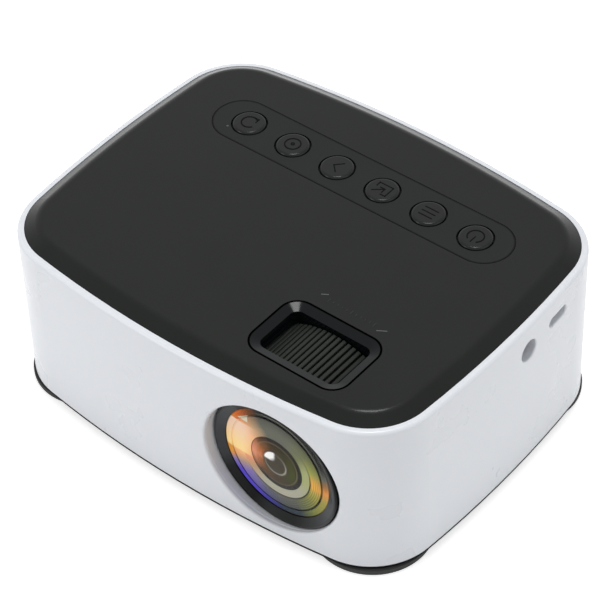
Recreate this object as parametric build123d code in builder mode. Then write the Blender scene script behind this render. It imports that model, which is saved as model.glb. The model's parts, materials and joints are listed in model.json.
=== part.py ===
from build123d import *
from math import cos, pi, radians, sin, sqrt
import os

# Mini projector, in millimetres. The origin is at the centre of the base, under the feet. The lens
# looks along -Y, the headphone and power sockets are on the +X side, the rear is +Y and +Z is up.

# Case
WIDTH = 127.0
DEPTH = 100.2
SLEEVE_HEIGHT = 46.1
FRONT_BOW = 326.0  # radius of the slight bow of the front and rear walls
SIDE_BOW = 333.0
CORNER_RADIUS = 18.8
SLEEVE_WALL = 1.8
RIM_ROUND = 1.0
SHELF_WIDTH = 1.2  # inner shelf of the sleeve, under the skirt of the top cover
SHELF_THICKNESS = 1.3
PUSH_FIT = 0.15  # gap round pieces that are pushed together
FIT = 0.1  # gap round pieces that slide or turn in each other
AIR = 0.3  # gap between pieces that only pass each other
CUT = 1.0  # how far a cut starts outside what it cuts
REACH = 5.0  # how far a cut from outside goes past a wall

# Top cover
COVER_RISE = 2.1  # flat top above the rim of the sleeve
BEVEL_WIDTH = 3.5
COVER_PLATE = 2.0
SKIRT_THICKNESS = 1.4
SKIRT_DEPTH = 4.4
CREASE_ROUND = 3.0
SEAT = 1.2  # depth of the seats that hold the key panel and the focus bezel
SEAT_LAND = 1.3  # width of those seats

# Bottom cover and feet
FOOT_HEIGHT = 1.6
FOOT_SEAT = 0.5
FOOT_OUTER = 15.0
FOOT_INNER = 9.0
FOOT_SPAN = 100.0  # degrees of a foot's arc
FOOT_TURN = 45.0  # towards the corner of the case
FOOT_INSET = 18.3  # from the case's side to the centre of a foot's arc
FOOT_SHIFT = 1.6  # the arc's centre is this much further from the front and rear
FOOT_ROUND = 0.6
BASE_LIP = 1.2  # dark edge that shows under the sleeve
BASE_INSET = 0.7
BASE_PLATE = 2.0
UPSTAND_THICKNESS = 1.5
UPSTAND_HEIGHT = 5.2
RIB_HEIGHT = 3.0

# Screws and their posts
POST_RADIUS = 3.2
SIDE_POST_X = 7.5  # the right front post stands beside the lens tube
SIDE_POST_FRONT = 30.1
POST_X = 11.5
POST_Y = 13.6
BOSS_HEIGHT = 5.4
CASE_SHANK = 1.1
CASE_SHANK_LENGTH = 13.0
CASE_HEAD = 2.2
CASE_HEAD_HEIGHT = 1.6
CASE_HEAD_RECESS = 1.2
SMALL_SHANK = 0.9
SMALL_SHANK_LENGTH = 4.6
SMALL_HEAD = 1.7
SMALL_HEAD_HEIGHT = 1.2
SMALL_BOSS = 2.3
SCREW_AIR = 0.05

# Tripod socket, 1/4 inch thread at its tapping bore
TRIPOD_BORE = 2.6
TRIPOD_INSERT = 4.0
TRIPOD_INSERT_HEIGHT = 4.6
TRIPOD_BOSS = 5.6

# Keys
KEY_COUNT = 6
KEY_PITCH = 14.36
KEY_RADIUS = 4.5
KEY_RISE = 0.55
KEY_ROUND = 0.35
KEY_DISH = 0.2
KEY_GAP = 0.3
KEY_FLANGE = 5.3
KEY_FLANGE_THICKNESS = 0.8
KEY_STEM = 1.6
KEY_TRAVEL = 0.4
KEY_ROW_X = 0.5
KEY_ROW_Y = 22.9
PANEL_LENGTH = 92.0
PANEL_WIDTH = 15.5
KEY_NAMES = ["source", "select", "previous", "back", "menu", "power"]
STATUS_LIGHT_X = 3.9  # beside the first key
STATUS_LIGHT_Y = 4.1
STATUS_LIGHT_RADIUS = 0.35
SWITCH_SIZE = 6.0
SWITCH_CORNER = 0.5
SWITCH_BODY = 3.0
SWITCH_PLUNGER = 1.7
SWITCH_PLUNGER_HEIGHT = 0.4

# Focus window and bezel
WINDOW_LENGTH = 29.0
WINDOW_WIDTH = 20.4
WINDOW_CORNER = 5.0
WINDOW_SHIFT = 0.4  # the window sits this far to the left of the lens axis
BEZEL_SLOPE = 2.5
BEZEL_FALL = 0.9
BEZEL_BORDER = 2.8
BEZEL_WALL = 1.2
BEZEL_DROP = 4.6

# Lens, measured from its axis
LENS_FROM_SIDE = 34.7
LENS_HEIGHT = 21.4  # above the lower edge of the sleeve
LENS_RECESS = 2.0
LENS_HOLE_ROUND = 0.6
HOLE_ROUND = 0.4  # of the other holes in the sleeve
TRIM_RADIUS = 19.0
TRIM_DEPTH = 1.9
TRIM_FACE = 0.7  # flat front of the trim ring
TRIM_SLOPE = 1.0
TRIM_LIP = 0.2
LENS_AIR = 0.2  # round the trim ring in the sleeve
SIGHT_RADIUS = 15.9  # glass seen inside the trim ring
GLASS_RADIUS = 16.6
GLASS_EDGE = 0.6
GLASS_CURVE = 48.0
GLASS_BACK_CURVE = 48.0
BAFFLE_OUTER = 13.7  # the fine steps of the baffle run from this radius
BAFFLE_INNER = 10.2  # in to this one
BAFFLE_STEPS = 8
BAFFLE_STEP = 0.14
BAFFLE_GROOVE = 0.3
BAFFLE_WALL = 1.6
BAFFLE_FLANGE = 1.5
MIDDLE_GLASS_RADIUS = 7.7
MIDDLE_GLASS_SEAT = 2.9
MIDDLE_GLASS_EDGE = 2.7
MIDDLE_GLASS_CURVE = 26.0
APERTURE_RADIUS = 4.2
APERTURE_PLATE = 0.8
REAR_GLASS_EDGE = 3.5
REAR_GLASS_CURVE = 40.0
SPACER_WALL = 1.2
BARREL_RADIUS = 17.5
BARREL_FLANGE = 0.8
BARREL_LENGTH = 22.1
BARREL_WALL = 1.6
BARREL_STOP = 0.9  # inner shoulder between the front glass and the rear lens group
BARREL_STOP_LENGTH = 3.0
PIN_RADIUS = 1.0
PIN_SETBACK = 14.2
PIN_COUNT = 3
TUBE_WALL = 1.4
TUBE_FLANGE = 1.5
TUBE_FLANGE_HEIGHT = 40.0
TUBE_FLANGE_CORNER = 3.0
FLANGE_SCREW_X = 18.6
FLANGE_SCREW_Z = 13.7
RETAINER_LENGTH = 2.0
CLIP_THICKNESS = 0.7
CLIP_SETBACK = 0.4
CLIP_GROOVE = 0.7
CLIP_RIM = 1.1
CLIP_OPENING = 6.0

# Focus ring
FOCUS_TRAVEL = 2.0  # of the barrel each way from the middle
FOCUS_TURN = 25.0  # degrees of the ring each way from the middle
RING_LENGTH = 21.5
RING_WALL = 2.0
GROOVE_DEPTH = 1.2
GROOVE_END = 5.0  # degrees of groove past each end of the turn
GRIP_DEPTH = 3.0  # top of the grip below the top cover's face
GRIP_SPAN = 114.0
GRIP_LENGTH = 14.0
RIB_PITCH = 4.26  # degrees
RIB_DEPTH = 0.8
RIB_GAP_ROOT = 0.4
RIB_GAP_MOUTH = 0.7

# Optical engine behind the lens
ENGINE_WIDTH = 42.0
ENGINE_WALL = 1.6
ENGINE_LID = 1.6
LIGHT_HOLE = 15.5
PLATE_AIR = 0.2
PLATE_RIB = 1.0
PLATE_RIB_DEPTH = 1.0
FIELD_LENS_AT = 10.0  # distances of the plates behind the engine's front face
FIELD_LENS = 1.6
LCD_AT = 15.0
LCD = 2.6
HEAT_GLASS_AT = 19.4
HEAT_GLASS = 1.1
CONDENSER_AT = 27.0
CONDENSER = 2.4
LUG_LENGTH = 7.0
LUG_WIDTH = 4.8
LUG_THICKNESS = 2.0
LUG_SETBACK = 4.0
FUNNEL_WALL = 0.8
FUNNEL_THROAT = 13.0
FUNNEL_CORNER = 3.0
LED_BOARD_RADIUS = 10.2
LED_BOARD = 1.6
LED_RADIUS = 4.6
LED_BASE = 1.0
HEAT_SINK_WIDTH = 35.0
HEAT_SINK_HEIGHT = 30.0
HEAT_SINK_DEPTH = 11.5
HEAT_SINK_BASE = 2.4
HEAT_SINK_SETBACK = 5.6
FIN_COUNT = 11
FIN_THICKNESS = 1.1
SINK_SCREW_X = 15.3
SINK_SCREW_Z = 13.2
FLEX_WIDTH = 16.0
FLEX_THICKNESS = 0.3
FLEX_RUN = 7.0
FLEX_LIFT = 0.8
FLEX_PLUG = 4.0

# Cooling fan
FAN_SIZE = 35.0
FAN_DEPTH = 10.0
FAN_FROM_SIDE = 41.5
FAN_SETBACK = 6.1
FAN_BORE = 16.4
FAN_HUB = 9.0
FAN_CORNER = 2.0
FAN_HOLE = 1.6
FAN_HOLE_PITCH = 29.0
FAN_RIB = 1.5
STRUT_COUNT = 4
STRUT_WIDTH = 2.0
BEARING_RADIUS = 2.2
BEARING_LENGTH = 7.0
BLADE_CHORD = 9.0
BLADE_COUNT = 7
BLADE_THICKNESS = 1.0
BLADE_PITCH = 38.0
BLADE_AIR = 0.6
FAN_SHAFT = 0.75
STATOR = 1.6
VENT_WIDTH = 2.0
VENT_HEIGHT = 26.0
VENT_PITCH = 4.0
VENT_COUNT = 8
INTAKE_Y = 19.0
INTAKE_LENGTH = 20.0
SOUND_COUNT = 5
SOUND_LENGTH = 20.0

# Main board and sockets
BOARD_DROP = 6.0  # underside of the board below the sleeve's rim
BOARD_THICKNESS = 1.6
BOARD_GAP = 6.5  # from the case's side to the board's edge
BOARD_FRONT_GAP = 16.1
BOARD_REAR_GAP = 7.1
BOARD_BESIDE_LENS = 25.8  # from the lens axis to the end of the board's deeper left part
BOARD_BEHIND_RING = 9.9
BOARD_POST_AIR = 1.0
LEFT_SCREW_INSET = 7.0  # of the board's screws from its edges
REAR_SCREW_INSET = 13.5
FRONT_SCREW_INSET = 6.0
MIDDLE_SCREW_INSET = (1.0, 3.0)
RIGHT_SCREW_INSET = (2.5, 5.5)
# Chips from the board's front left corner: x, y, width, length and height
CHIPS = [(33.0, 20.0, 14.0, 14.0, 1.4), (17.0, 22.0, 9.0, 12.0, 1.0), (51.0, 16.0, 6.0, 6.0, 2.8)]
CAPACITORS = [(33.0, 38.0), (45.0, 38.0), (53.0, 38.0)]
CAPACITOR_RADIUS = 2.6
CAPACITOR_HEIGHT = 3.6
CAPACITOR_ROUND = 0.4
SOCKET_WALL = 0.5
SOCKET_AIR = 0.3  # gap between a socket and the hole in the sleeve
SOCKET_CORNER = 0.9
TONGUE_WIDTH = 0.7  # of the socket's own width
TONGUE_HEIGHT = 0.2  # of the socket's own height
JACK_Y = 8.0
JACK_HOLE = 3.0
JACK_BORE = 1.8
JACK_WIDTH = 6.2
JACK_HEIGHT = 5.2
JACK_LENGTH = 9.0
JACK_COLLAR = 1.4  # extra depth of the sleeve round the headphone hole
JACK_COLLAR_WALL = 1.2
POWER_Y = 20.6
POWER_WIDTH = 7.4
POWER_HEIGHT = 2.5
POWER_LENGTH = 5.5
POWER_HOLE_WIDTH = 7.6
POWER_HOLE_HEIGHT = 2.8
POWER_CORNER = 0.6
VIDEO_Y = 19.5
VIDEO_WIDTH = 15.0
VIDEO_HEIGHT = 5.6
VIDEO_LENGTH = 11.5
VIDEO_CORNER = 1.4
DATA_Y = 2.0
DATA_WIDTH = 13.2
DATA_HEIGHT = 5.8
DATA_LENGTH = 13.5
DATA_CORNER = 0.3
CARD_Y = -17.0
CARD_WIDTH = 14.5
CARD_HEIGHT = 1.5
CARD_LENGTH = 15.0
CARD_CORNER = 0.2

# Speaker
SPEAKER_FROM_SIDE = 33.5
SPEAKER_FROM_FRONT = 27.0
SPEAKER_RADIUS = 16.0
SPEAKER_RIM = 2.0
SPEAKER_BASKET = 4.0
SPEAKER_MAGNET = 9.0
SPEAKER_MAGNET_HEIGHT = 4.0
SPEAKER_WALL = 1.2

# Heights
sleeve_bottom = FOOT_HEIGHT + BASE_LIP
sleeve_top = sleeve_bottom + SLEEVE_HEIGHT
cover_top = sleeve_top + COVER_RISE
cover_underside = cover_top - COVER_PLATE
seat_top = cover_top - SEAT
skirt_bottom = sleeve_top - SKIRT_DEPTH
floor_top = FOOT_HEIGHT + BASE_PLATE
boss_top = floor_top + BOSS_HEIGHT
board_bottom = sleeve_top - BOARD_DROP
board_top = board_bottom + BOARD_THICKNESS
engine_top = board_bottom - AIR

# Plan
half_width = WIDTH / 2
half_depth = DEPTH / 2
inside = SLEEVE_WALL + PUSH_FIT
lens_x = half_width - LENS_FROM_SIDE
lens_z = sleeve_bottom + LENS_HEIGHT
engine_bottom = 2 * lens_z - engine_top
corner_x = half_width - POST_X
corner_y = half_depth - POST_Y
side_cut = CUT + SLEEVE_WALL + REACH
posts = [
    (-corner_x, corner_y),
    (corner_x, corner_y),
    (-corner_x, -corner_y),
    (half_width - SIDE_POST_X, SIDE_POST_FRONT - half_depth),
]
key_xs = [KEY_ROW_X + (i - (KEY_COUNT - 1) / 2) * KEY_PITCH for i in range(KEY_COUNT)]


def sag(radius, curve):
    """How far an arc of the radius named curve falls from its middle to a given radius."""
    return curve - sqrt(curve**2 - radius**2)


def front_wall(x):
    """How far forward of the origin the front wall stands at a given x."""
    return half_depth - sag(x, FRONT_BOW)


def side_wall(y):
    """How far from the middle the side wall stands at a given y."""
    return half_width - sag(y, SIDE_BOW)


# The lens is built along its own axis, and forward is the distance from the origin towards -Y.
lens_front = front_wall(lens_x) - LENS_RECESS
flange_front = lens_front - TRIM_DEPTH
flange_back = flange_front - BARREL_FLANGE
tube_front = flange_back - FOCUS_TRAVEL - AIR
clip_front = tube_front - CLIP_SETBACK
ring_front = clip_front - CLIP_THICKNESS - AIR
ring_back = ring_front - RING_LENGTH
tube_back = ring_back - AIR
engine_front = tube_back - TUBE_FLANGE
engine_rear = HEAT_SINK_SETBACK + HEAT_SINK_DEPTH - half_depth
pin_forward = flange_back - PIN_SETBACK
barrel_back = flange_back - BARREL_LENGTH
barrel_bore = BARREL_RADIUS - BARREL_WALL
tube_bore = BARREL_RADIUS + FIT
tube_radius = tube_bore + TUBE_WALL
ring_bore = tube_radius + FIT
ring_radius = ring_bore + RING_WALL
grip_radius = cover_top - lens_z - GRIP_DEPTH
window_x = lens_x - WINDOW_SHIFT
window_y = -(ring_front + ring_back) / 2
board_edge = half_width - BOARD_GAP
board_front = BOARD_FRONT_GAP - half_depth
board_rear = half_depth - BOARD_REAR_GAP
board_split = lens_x - BOARD_BESIDE_LENS
board_step = BOARD_BEHIND_RING - ring_back
board_screws = [
    (LEFT_SCREW_INSET - board_edge, board_rear - REAR_SCREW_INSET),
    (LEFT_SCREW_INSET - board_edge, board_front + FRONT_SCREW_INSET),
    (board_split - MIDDLE_SCREW_INSET[0], board_rear - MIDDLE_SCREW_INSET[1]),
    (board_edge - RIGHT_SCREW_INSET[0], board_step + RIGHT_SCREW_INSET[1]),
]

lens_axis = Axis((lens_x, 0, lens_z), (0, -1, 0))
lens_section = Plane((lens_x, 0, lens_z), x_dir=(1, 0, 0), z_dir=(0, 0, -1))


def lens_face(forward):
    """Plane square to the lens axis, at a distance forward of the origin, facing forward."""
    return Plane((lens_x, -forward, lens_z), x_dir=(1, 0, 0), z_dir=(0, -1, 0))


def keep(part, name):
    """Name a finished piece and write it."""
    part.label = name
    export_step(part, f"parts/{name}.step")
    return part


os.makedirs("parts", exist_ok=True)


def case_outline(inset=0.0):
    """Outline of the case: four shallow arcs with rounded corners, moved in by an inset."""
    with BuildSketch() as outline:
        with Locations((0, half_depth - FRONT_BOW)):
            Circle(FRONT_BOW - inset)
        with Locations((0, FRONT_BOW - half_depth)):
            Circle(FRONT_BOW - inset, mode=Mode.INTERSECT)
        with Locations((half_width - SIDE_BOW, 0)):
            Circle(SIDE_BOW - inset, mode=Mode.INTERSECT)
        with Locations((SIDE_BOW - half_width, 0)):
            Circle(SIDE_BOW - inset, mode=Mode.INTERSECT)
        fillet(outline.vertices(), CORNER_RADIUS - inset)
    return outline.sketch


# White sleeve, with a shelf inside that carries the top cover
jack_z = board_bottom - JACK_HEIGHT / 2
power_z = board_bottom - POWER_HEIGHT / 2
left_sockets = [
    (VIDEO_Y, VIDEO_WIDTH, VIDEO_HEIGHT),
    (DATA_Y, DATA_WIDTH, DATA_HEIGHT),
    (CARD_Y, CARD_WIDTH, CARD_HEIGHT),
]
vent_groups = [FAN_FROM_SIDE - half_width, lens_x]

def outside(edges):
    """Those of some edges that lie on the outer face of the sleeve."""
    middles = [(edge, edge @ 0.5) for edge in edges]
    return [
        edge
        for edge, p in middles
        if min(abs(abs(p.Y) - front_wall(p.X)), abs(abs(p.X) - side_wall(p.Y))) < SLEEVE_WALL / 3
    ]


with BuildPart() as outer_sleeve:
    with BuildSketch(Plane.XY.offset(sleeve_bottom)):
        add(case_outline())
        add(case_outline(SLEEVE_WALL), mode=Mode.SUBTRACT)
    extrude(amount=SLEEVE_HEIGHT)
    rim = outer_sleeve.faces().sort_by(Axis.Z)[-1].outer_wire().edges()
    fillet(rim, RIM_ROUND)
    with BuildSketch(Plane.XY.offset(skirt_bottom - SHELF_THICKNESS)):
        add(case_outline(SLEEVE_WALL / 2))
        add(case_outline(SLEEVE_WALL + SHELF_WIDTH), mode=Mode.SUBTRACT)
    extrude(amount=SHELF_THICKNESS)
    # Thicker ring behind the headphone hole
    with BuildSketch(Plane.YZ.offset(side_wall(JACK_Y) - SLEEVE_WALL - JACK_COLLAR)):
        with Locations((JACK_Y, jack_z)):
            Circle(JACK_HOLE + JACK_COLLAR_WALL)
    extrude(amount=JACK_COLLAR + SLEEVE_WALL / 2)
    # Lens hole with its rounded edge
    with BuildSketch(lens_face(half_depth + CUT)):
        Circle(TRIM_RADIUS + LENS_AIR)
    extrude(amount=-(half_depth + CUT - tube_front), mode=Mode.SUBTRACT)
    fillet(outside(outer_sleeve.edges(Select.LAST)), LENS_HOLE_ROUND)
    # Headphone and power holes
    with BuildSketch(Plane.YZ.offset(half_width + CUT)):
        with Locations((JACK_Y, jack_z)):
            Circle(JACK_HOLE)
        with Locations((POWER_Y, power_z)):
            SlotOverall(POWER_HOLE_WIDTH, POWER_HOLE_HEIGHT)
    extrude(amount=-side_cut, mode=Mode.SUBTRACT)
    fillet(outside(outer_sleeve.edges(Select.LAST)), HOLE_ROUND)
    # Video, data and card holes on the other side
    with BuildSketch(Plane.YZ.offset(-half_width - CUT)):
        for y, width, height in left_sockets:
            with Locations((y, board_bottom - height / 2)):
                RectangleRounded(width + 2 * SOCKET_AIR, height + 2 * SOCKET_AIR, SOCKET_CORNER)
    extrude(amount=side_cut, mode=Mode.SUBTRACT)
    fillet(outside(outer_sleeve.edges(Select.LAST)), HOLE_ROUND)
    # Air slots in the rear wall, behind the fan and behind the heat sink
    with BuildSketch(Plane.XZ.offset(-half_depth - CUT)):
        for x in vent_groups:
            with Locations((x, lens_z)):
                with GridLocations(VENT_PITCH, 0, VENT_COUNT, 1):
                    SlotOverall(VENT_HEIGHT, VENT_WIDTH, rotation=90)
    extrude(amount=side_cut, mode=Mode.SUBTRACT)
    fillet(outside(outer_sleeve.edges(Select.LAST)), HOLE_ROUND)
keep(outer_sleeve.part, "outer_sleeve")

# Top cover with its bevelled border, the seats of the key panel and the bezel, and its posts
case_head_top = FOOT_HEIGHT + CASE_HEAD_RECESS + CASE_HEAD_HEIGHT

with BuildPart() as top_cover:
    with BuildSketch(Plane.XY.offset(skirt_bottom)):
        add(case_outline(inside))
    extrude(amount=cover_top - skirt_bottom)
    lid = top_cover.faces().sort_by(Axis.Z)[-1]
    chamfer(lid.edges(), length=BEVEL_WIDTH, length2=COVER_RISE, reference=lid)
    fillet(top_cover.faces().sort_by(Axis.Z)[-1].edges(), CREASE_ROUND)
    with BuildSketch(Plane.XY.offset(skirt_bottom)):
        add(case_outline(inside + SKIRT_THICKNESS))
    extrude(amount=sleeve_top - SKIRT_THICKNESS / 2 - skirt_bottom, mode=Mode.SUBTRACT)
    with BuildSketch(Plane.XY.offset(skirt_bottom)):
        add(case_outline(inside + BEVEL_WIDTH))
    extrude(amount=cover_underside - skirt_bottom, mode=Mode.SUBTRACT)
    with BuildSketch(Plane.XY.offset(boss_top)):
        with Locations(*posts):
            Circle(POST_RADIUS)
    extrude(amount=cover_underside - boss_top)
    with BuildSketch(Plane.XY.offset(boss_top)):
        with Locations(*posts):
            Circle(CASE_SHANK + SCREW_AIR)
    extrude(amount=case_head_top + CASE_SHANK_LENGTH + CUT - boss_top, mode=Mode.SUBTRACT)
    with BuildSketch(Plane.XY.offset(board_top)):
        with Locations(*board_screws):
            Circle(SMALL_BOSS)
    extrude(amount=cover_underside - board_top)
    with BuildSketch(Plane.XY.offset(board_top)):
        with Locations(*board_screws):
            Circle(SMALL_SHANK + SCREW_AIR)
    extrude(amount=SMALL_SHANK_LENGTH - BOARD_THICKNESS + AIR, mode=Mode.SUBTRACT)
    with BuildSketch(Plane.XY.offset(seat_top)):
        with Locations((KEY_ROW_X, KEY_ROW_Y)):
            SlotOverall(PANEL_LENGTH + 2 * PUSH_FIT, PANEL_WIDTH + 2 * PUSH_FIT)
        with Locations((window_x, window_y)):
            RectangleRounded(
                WINDOW_LENGTH + 2 * PUSH_FIT, WINDOW_WIDTH + 2 * PUSH_FIT, WINDOW_CORNER + PUSH_FIT
            )
    extrude(amount=SEAT, mode=Mode.SUBTRACT)
    with BuildSketch(Plane.XY.offset(cover_underside)):
        with Locations((KEY_ROW_X, KEY_ROW_Y)):
            SlotOverall(PANEL_LENGTH - 2 * SEAT_LAND, PANEL_WIDTH - 2 * SEAT_LAND)
        with Locations((window_x, window_y)):
            RectangleRounded(
                WINDOW_LENGTH - 2 * SEAT_LAND, WINDOW_WIDTH - 2 * SEAT_LAND, WINDOW_CORNER - SEAT_LAND
            )
    extrude(amount=COVER_PLATE, mode=Mode.SUBTRACT)
keep(top_cover.part, "top_cover")

# Key panel, its keys and the switches under them
light_x = key_xs[0] - STATUS_LIGHT_X
light_y = KEY_ROW_Y - STATUS_LIGHT_Y

with BuildPart() as key_panel:
    with BuildSketch(Plane.XY.offset(seat_top)):
        with Locations((KEY_ROW_X, KEY_ROW_Y)):
            SlotOverall(PANEL_LENGTH, PANEL_WIDTH)
        with Locations(*[(x, KEY_ROW_Y) for x in key_xs]):
            Circle(KEY_RADIUS + KEY_GAP, mode=Mode.SUBTRACT)
        with Locations((light_x, light_y)):
            Circle(STATUS_LIGHT_RADIUS + SCREW_AIR, mode=Mode.SUBTRACT)
    extrude(amount=SEAT)
keep(key_panel.part, "key_panel")

with BuildPart() as status_light:
    with BuildSketch(Plane.XY.offset(seat_top)):
        with Locations((light_x, light_y)):
            Circle(STATUS_LIGHT_RADIUS)
    extrude(amount=SEAT)
keep(status_light.part, "status_light")

plunger_top = board_top + SWITCH_BODY + SWITCH_PLUNGER_HEIGHT
stem_bottom = plunger_top + KEY_TRAVEL + SCREW_AIR
flange_top = seat_top - FIT
flange_bottom = flange_top - KEY_FLANGE_THICKNESS
key_top = cover_top + KEY_RISE


def key_cap(x):
    """Turned key: a dished cap, a flange that keeps it under the panel, and a stem on the switch."""
    section = Plane((x, KEY_ROW_Y, 0), x_dir=(1, 0, 0), z_dir=(0, -1, 0))
    dish = KEY_RADIUS - 2 * KEY_ROUND
    dish_curve = (dish**2 + KEY_DISH**2) / (2 * KEY_DISH)
    dish_bottom = key_top - KEY_DISH
    with BuildPart() as key:
        with BuildSketch(section):
            with BuildLine():
                Polyline(
                    (0, dish_bottom),
                    (0, stem_bottom),
                    (KEY_STEM, stem_bottom),
                    (KEY_STEM, flange_bottom),
                    (KEY_FLANGE, flange_bottom),
                    (KEY_FLANGE, flange_top),
                    (KEY_RADIUS, flange_top),
                    (KEY_RADIUS, key_top - KEY_ROUND),
                )
                CenterArc((KEY_RADIUS - KEY_ROUND, key_top - KEY_ROUND), KEY_ROUND, 0, 90)
                Line((KEY_RADIUS - KEY_ROUND, key_top), (dish, key_top))
                ThreePointArc(
                    (dish, key_top), (dish / 2, dish_bottom + sag(dish / 2, dish_curve)), (0, dish_bottom)
                )
            make_face()
        revolve(axis=Axis((x, KEY_ROW_Y, 0), (0, 0, 1)))
    return key.part


for x, name in zip(key_xs, KEY_NAMES):
    keep(key_cap(x), f"key_{name}")

with BuildPart() as key_switches:
    with BuildSketch(Plane.XY.offset(board_top)):
        with Locations(*[(x, KEY_ROW_Y) for x in key_xs]):
            RectangleRounded(SWITCH_SIZE, SWITCH_SIZE, SWITCH_CORNER)
    extrude(amount=SWITCH_BODY)
    with BuildSketch(Plane.XY.offset(board_top + SWITCH_BODY)):
        with Locations(*[(x, KEY_ROW_Y) for x in key_xs]):
            Circle(SWITCH_PLUNGER)
    extrude(amount=SWITCH_PLUNGER_HEIGHT)
keep(key_switches.part, "key_switches")

# Focus bezel: a sloping frame with walls that reach down beside the grip
opening_length = WINDOW_LENGTH - 2 * BEZEL_BORDER
opening_width = WINDOW_WIDTH - 2 * BEZEL_BORDER
opening_corner = WINDOW_CORNER - BEZEL_BORDER

with BuildPart() as focus_bezel:
    with BuildSketch(Plane.XY.offset(seat_top)):
        with Locations((window_x, window_y)):
            RectangleRounded(WINDOW_LENGTH, WINDOW_WIDTH, WINDOW_CORNER)
    extrude(amount=SEAT)
    with BuildSketch(Plane.XY.offset(cover_top - BEZEL_DROP)):
        with Locations((window_x, window_y)):
            RectangleRounded(
                opening_length + 2 * BEZEL_WALL, opening_width + 2 * BEZEL_WALL, opening_corner + BEZEL_WALL
            )
    extrude(amount=BEZEL_DROP - SEAT)
    with BuildSketch(Plane.XY.offset(cover_top - BEZEL_DROP)):
        with Locations((window_x, window_y)):
            RectangleRounded(opening_length, opening_width, opening_corner)
    extrude(amount=BEZEL_DROP, mode=Mode.SUBTRACT)
    frame_top = focus_bezel.faces().sort_by(Axis.Z)[-1]
    chamfer(frame_top.inner_wires()[0].edges(), length=BEZEL_SLOPE, length2=BEZEL_FALL, reference=frame_top)
keep(focus_bezel.part, "focus_bezel")

# Bottom cover: floor, upstand inside the sleeve, bosses, air slots and the seats of the feet
speaker_x = SPEAKER_FROM_SIDE - half_width
speaker_y = SPEAKER_FROM_FRONT - half_depth
fan_x = FAN_FROM_SIDE - half_width
fan_rear = half_depth - FAN_SETBACK
fan_front = fan_rear - FAN_DEPTH
fan_z = floor_top + FAN_SIZE / 2
lug_x = ENGINE_WIDTH / 2 + LUG_WIDTH / 2
lugs = [
    (lens_x + side * lug_x, y)
    for side in (-1, 1)
    for y in (LUG_SETBACK - engine_front, -engine_rear - LUG_SETBACK)
]


def foot_sketch(grow=0.0):
    """Four curved pads, one under each corner of the case."""
    middle = (FOOT_OUTER + FOOT_INNER) / 2
    width = FOOT_OUTER - FOOT_INNER + 2 * grow
    with BuildSketch() as pads:
        with BuildLine():
            CenterArc(
                (half_width - FOOT_INSET, half_depth - FOOT_INSET - FOOT_SHIFT),
                middle,
                FOOT_TURN - FOOT_SPAN / 2,
                FOOT_SPAN,
            )
        SlotArc(pads.pending_edges[0], width)
        mirror(about=Plane.YZ)
        mirror(about=Plane.XZ)
    return pads.sketch


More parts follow.
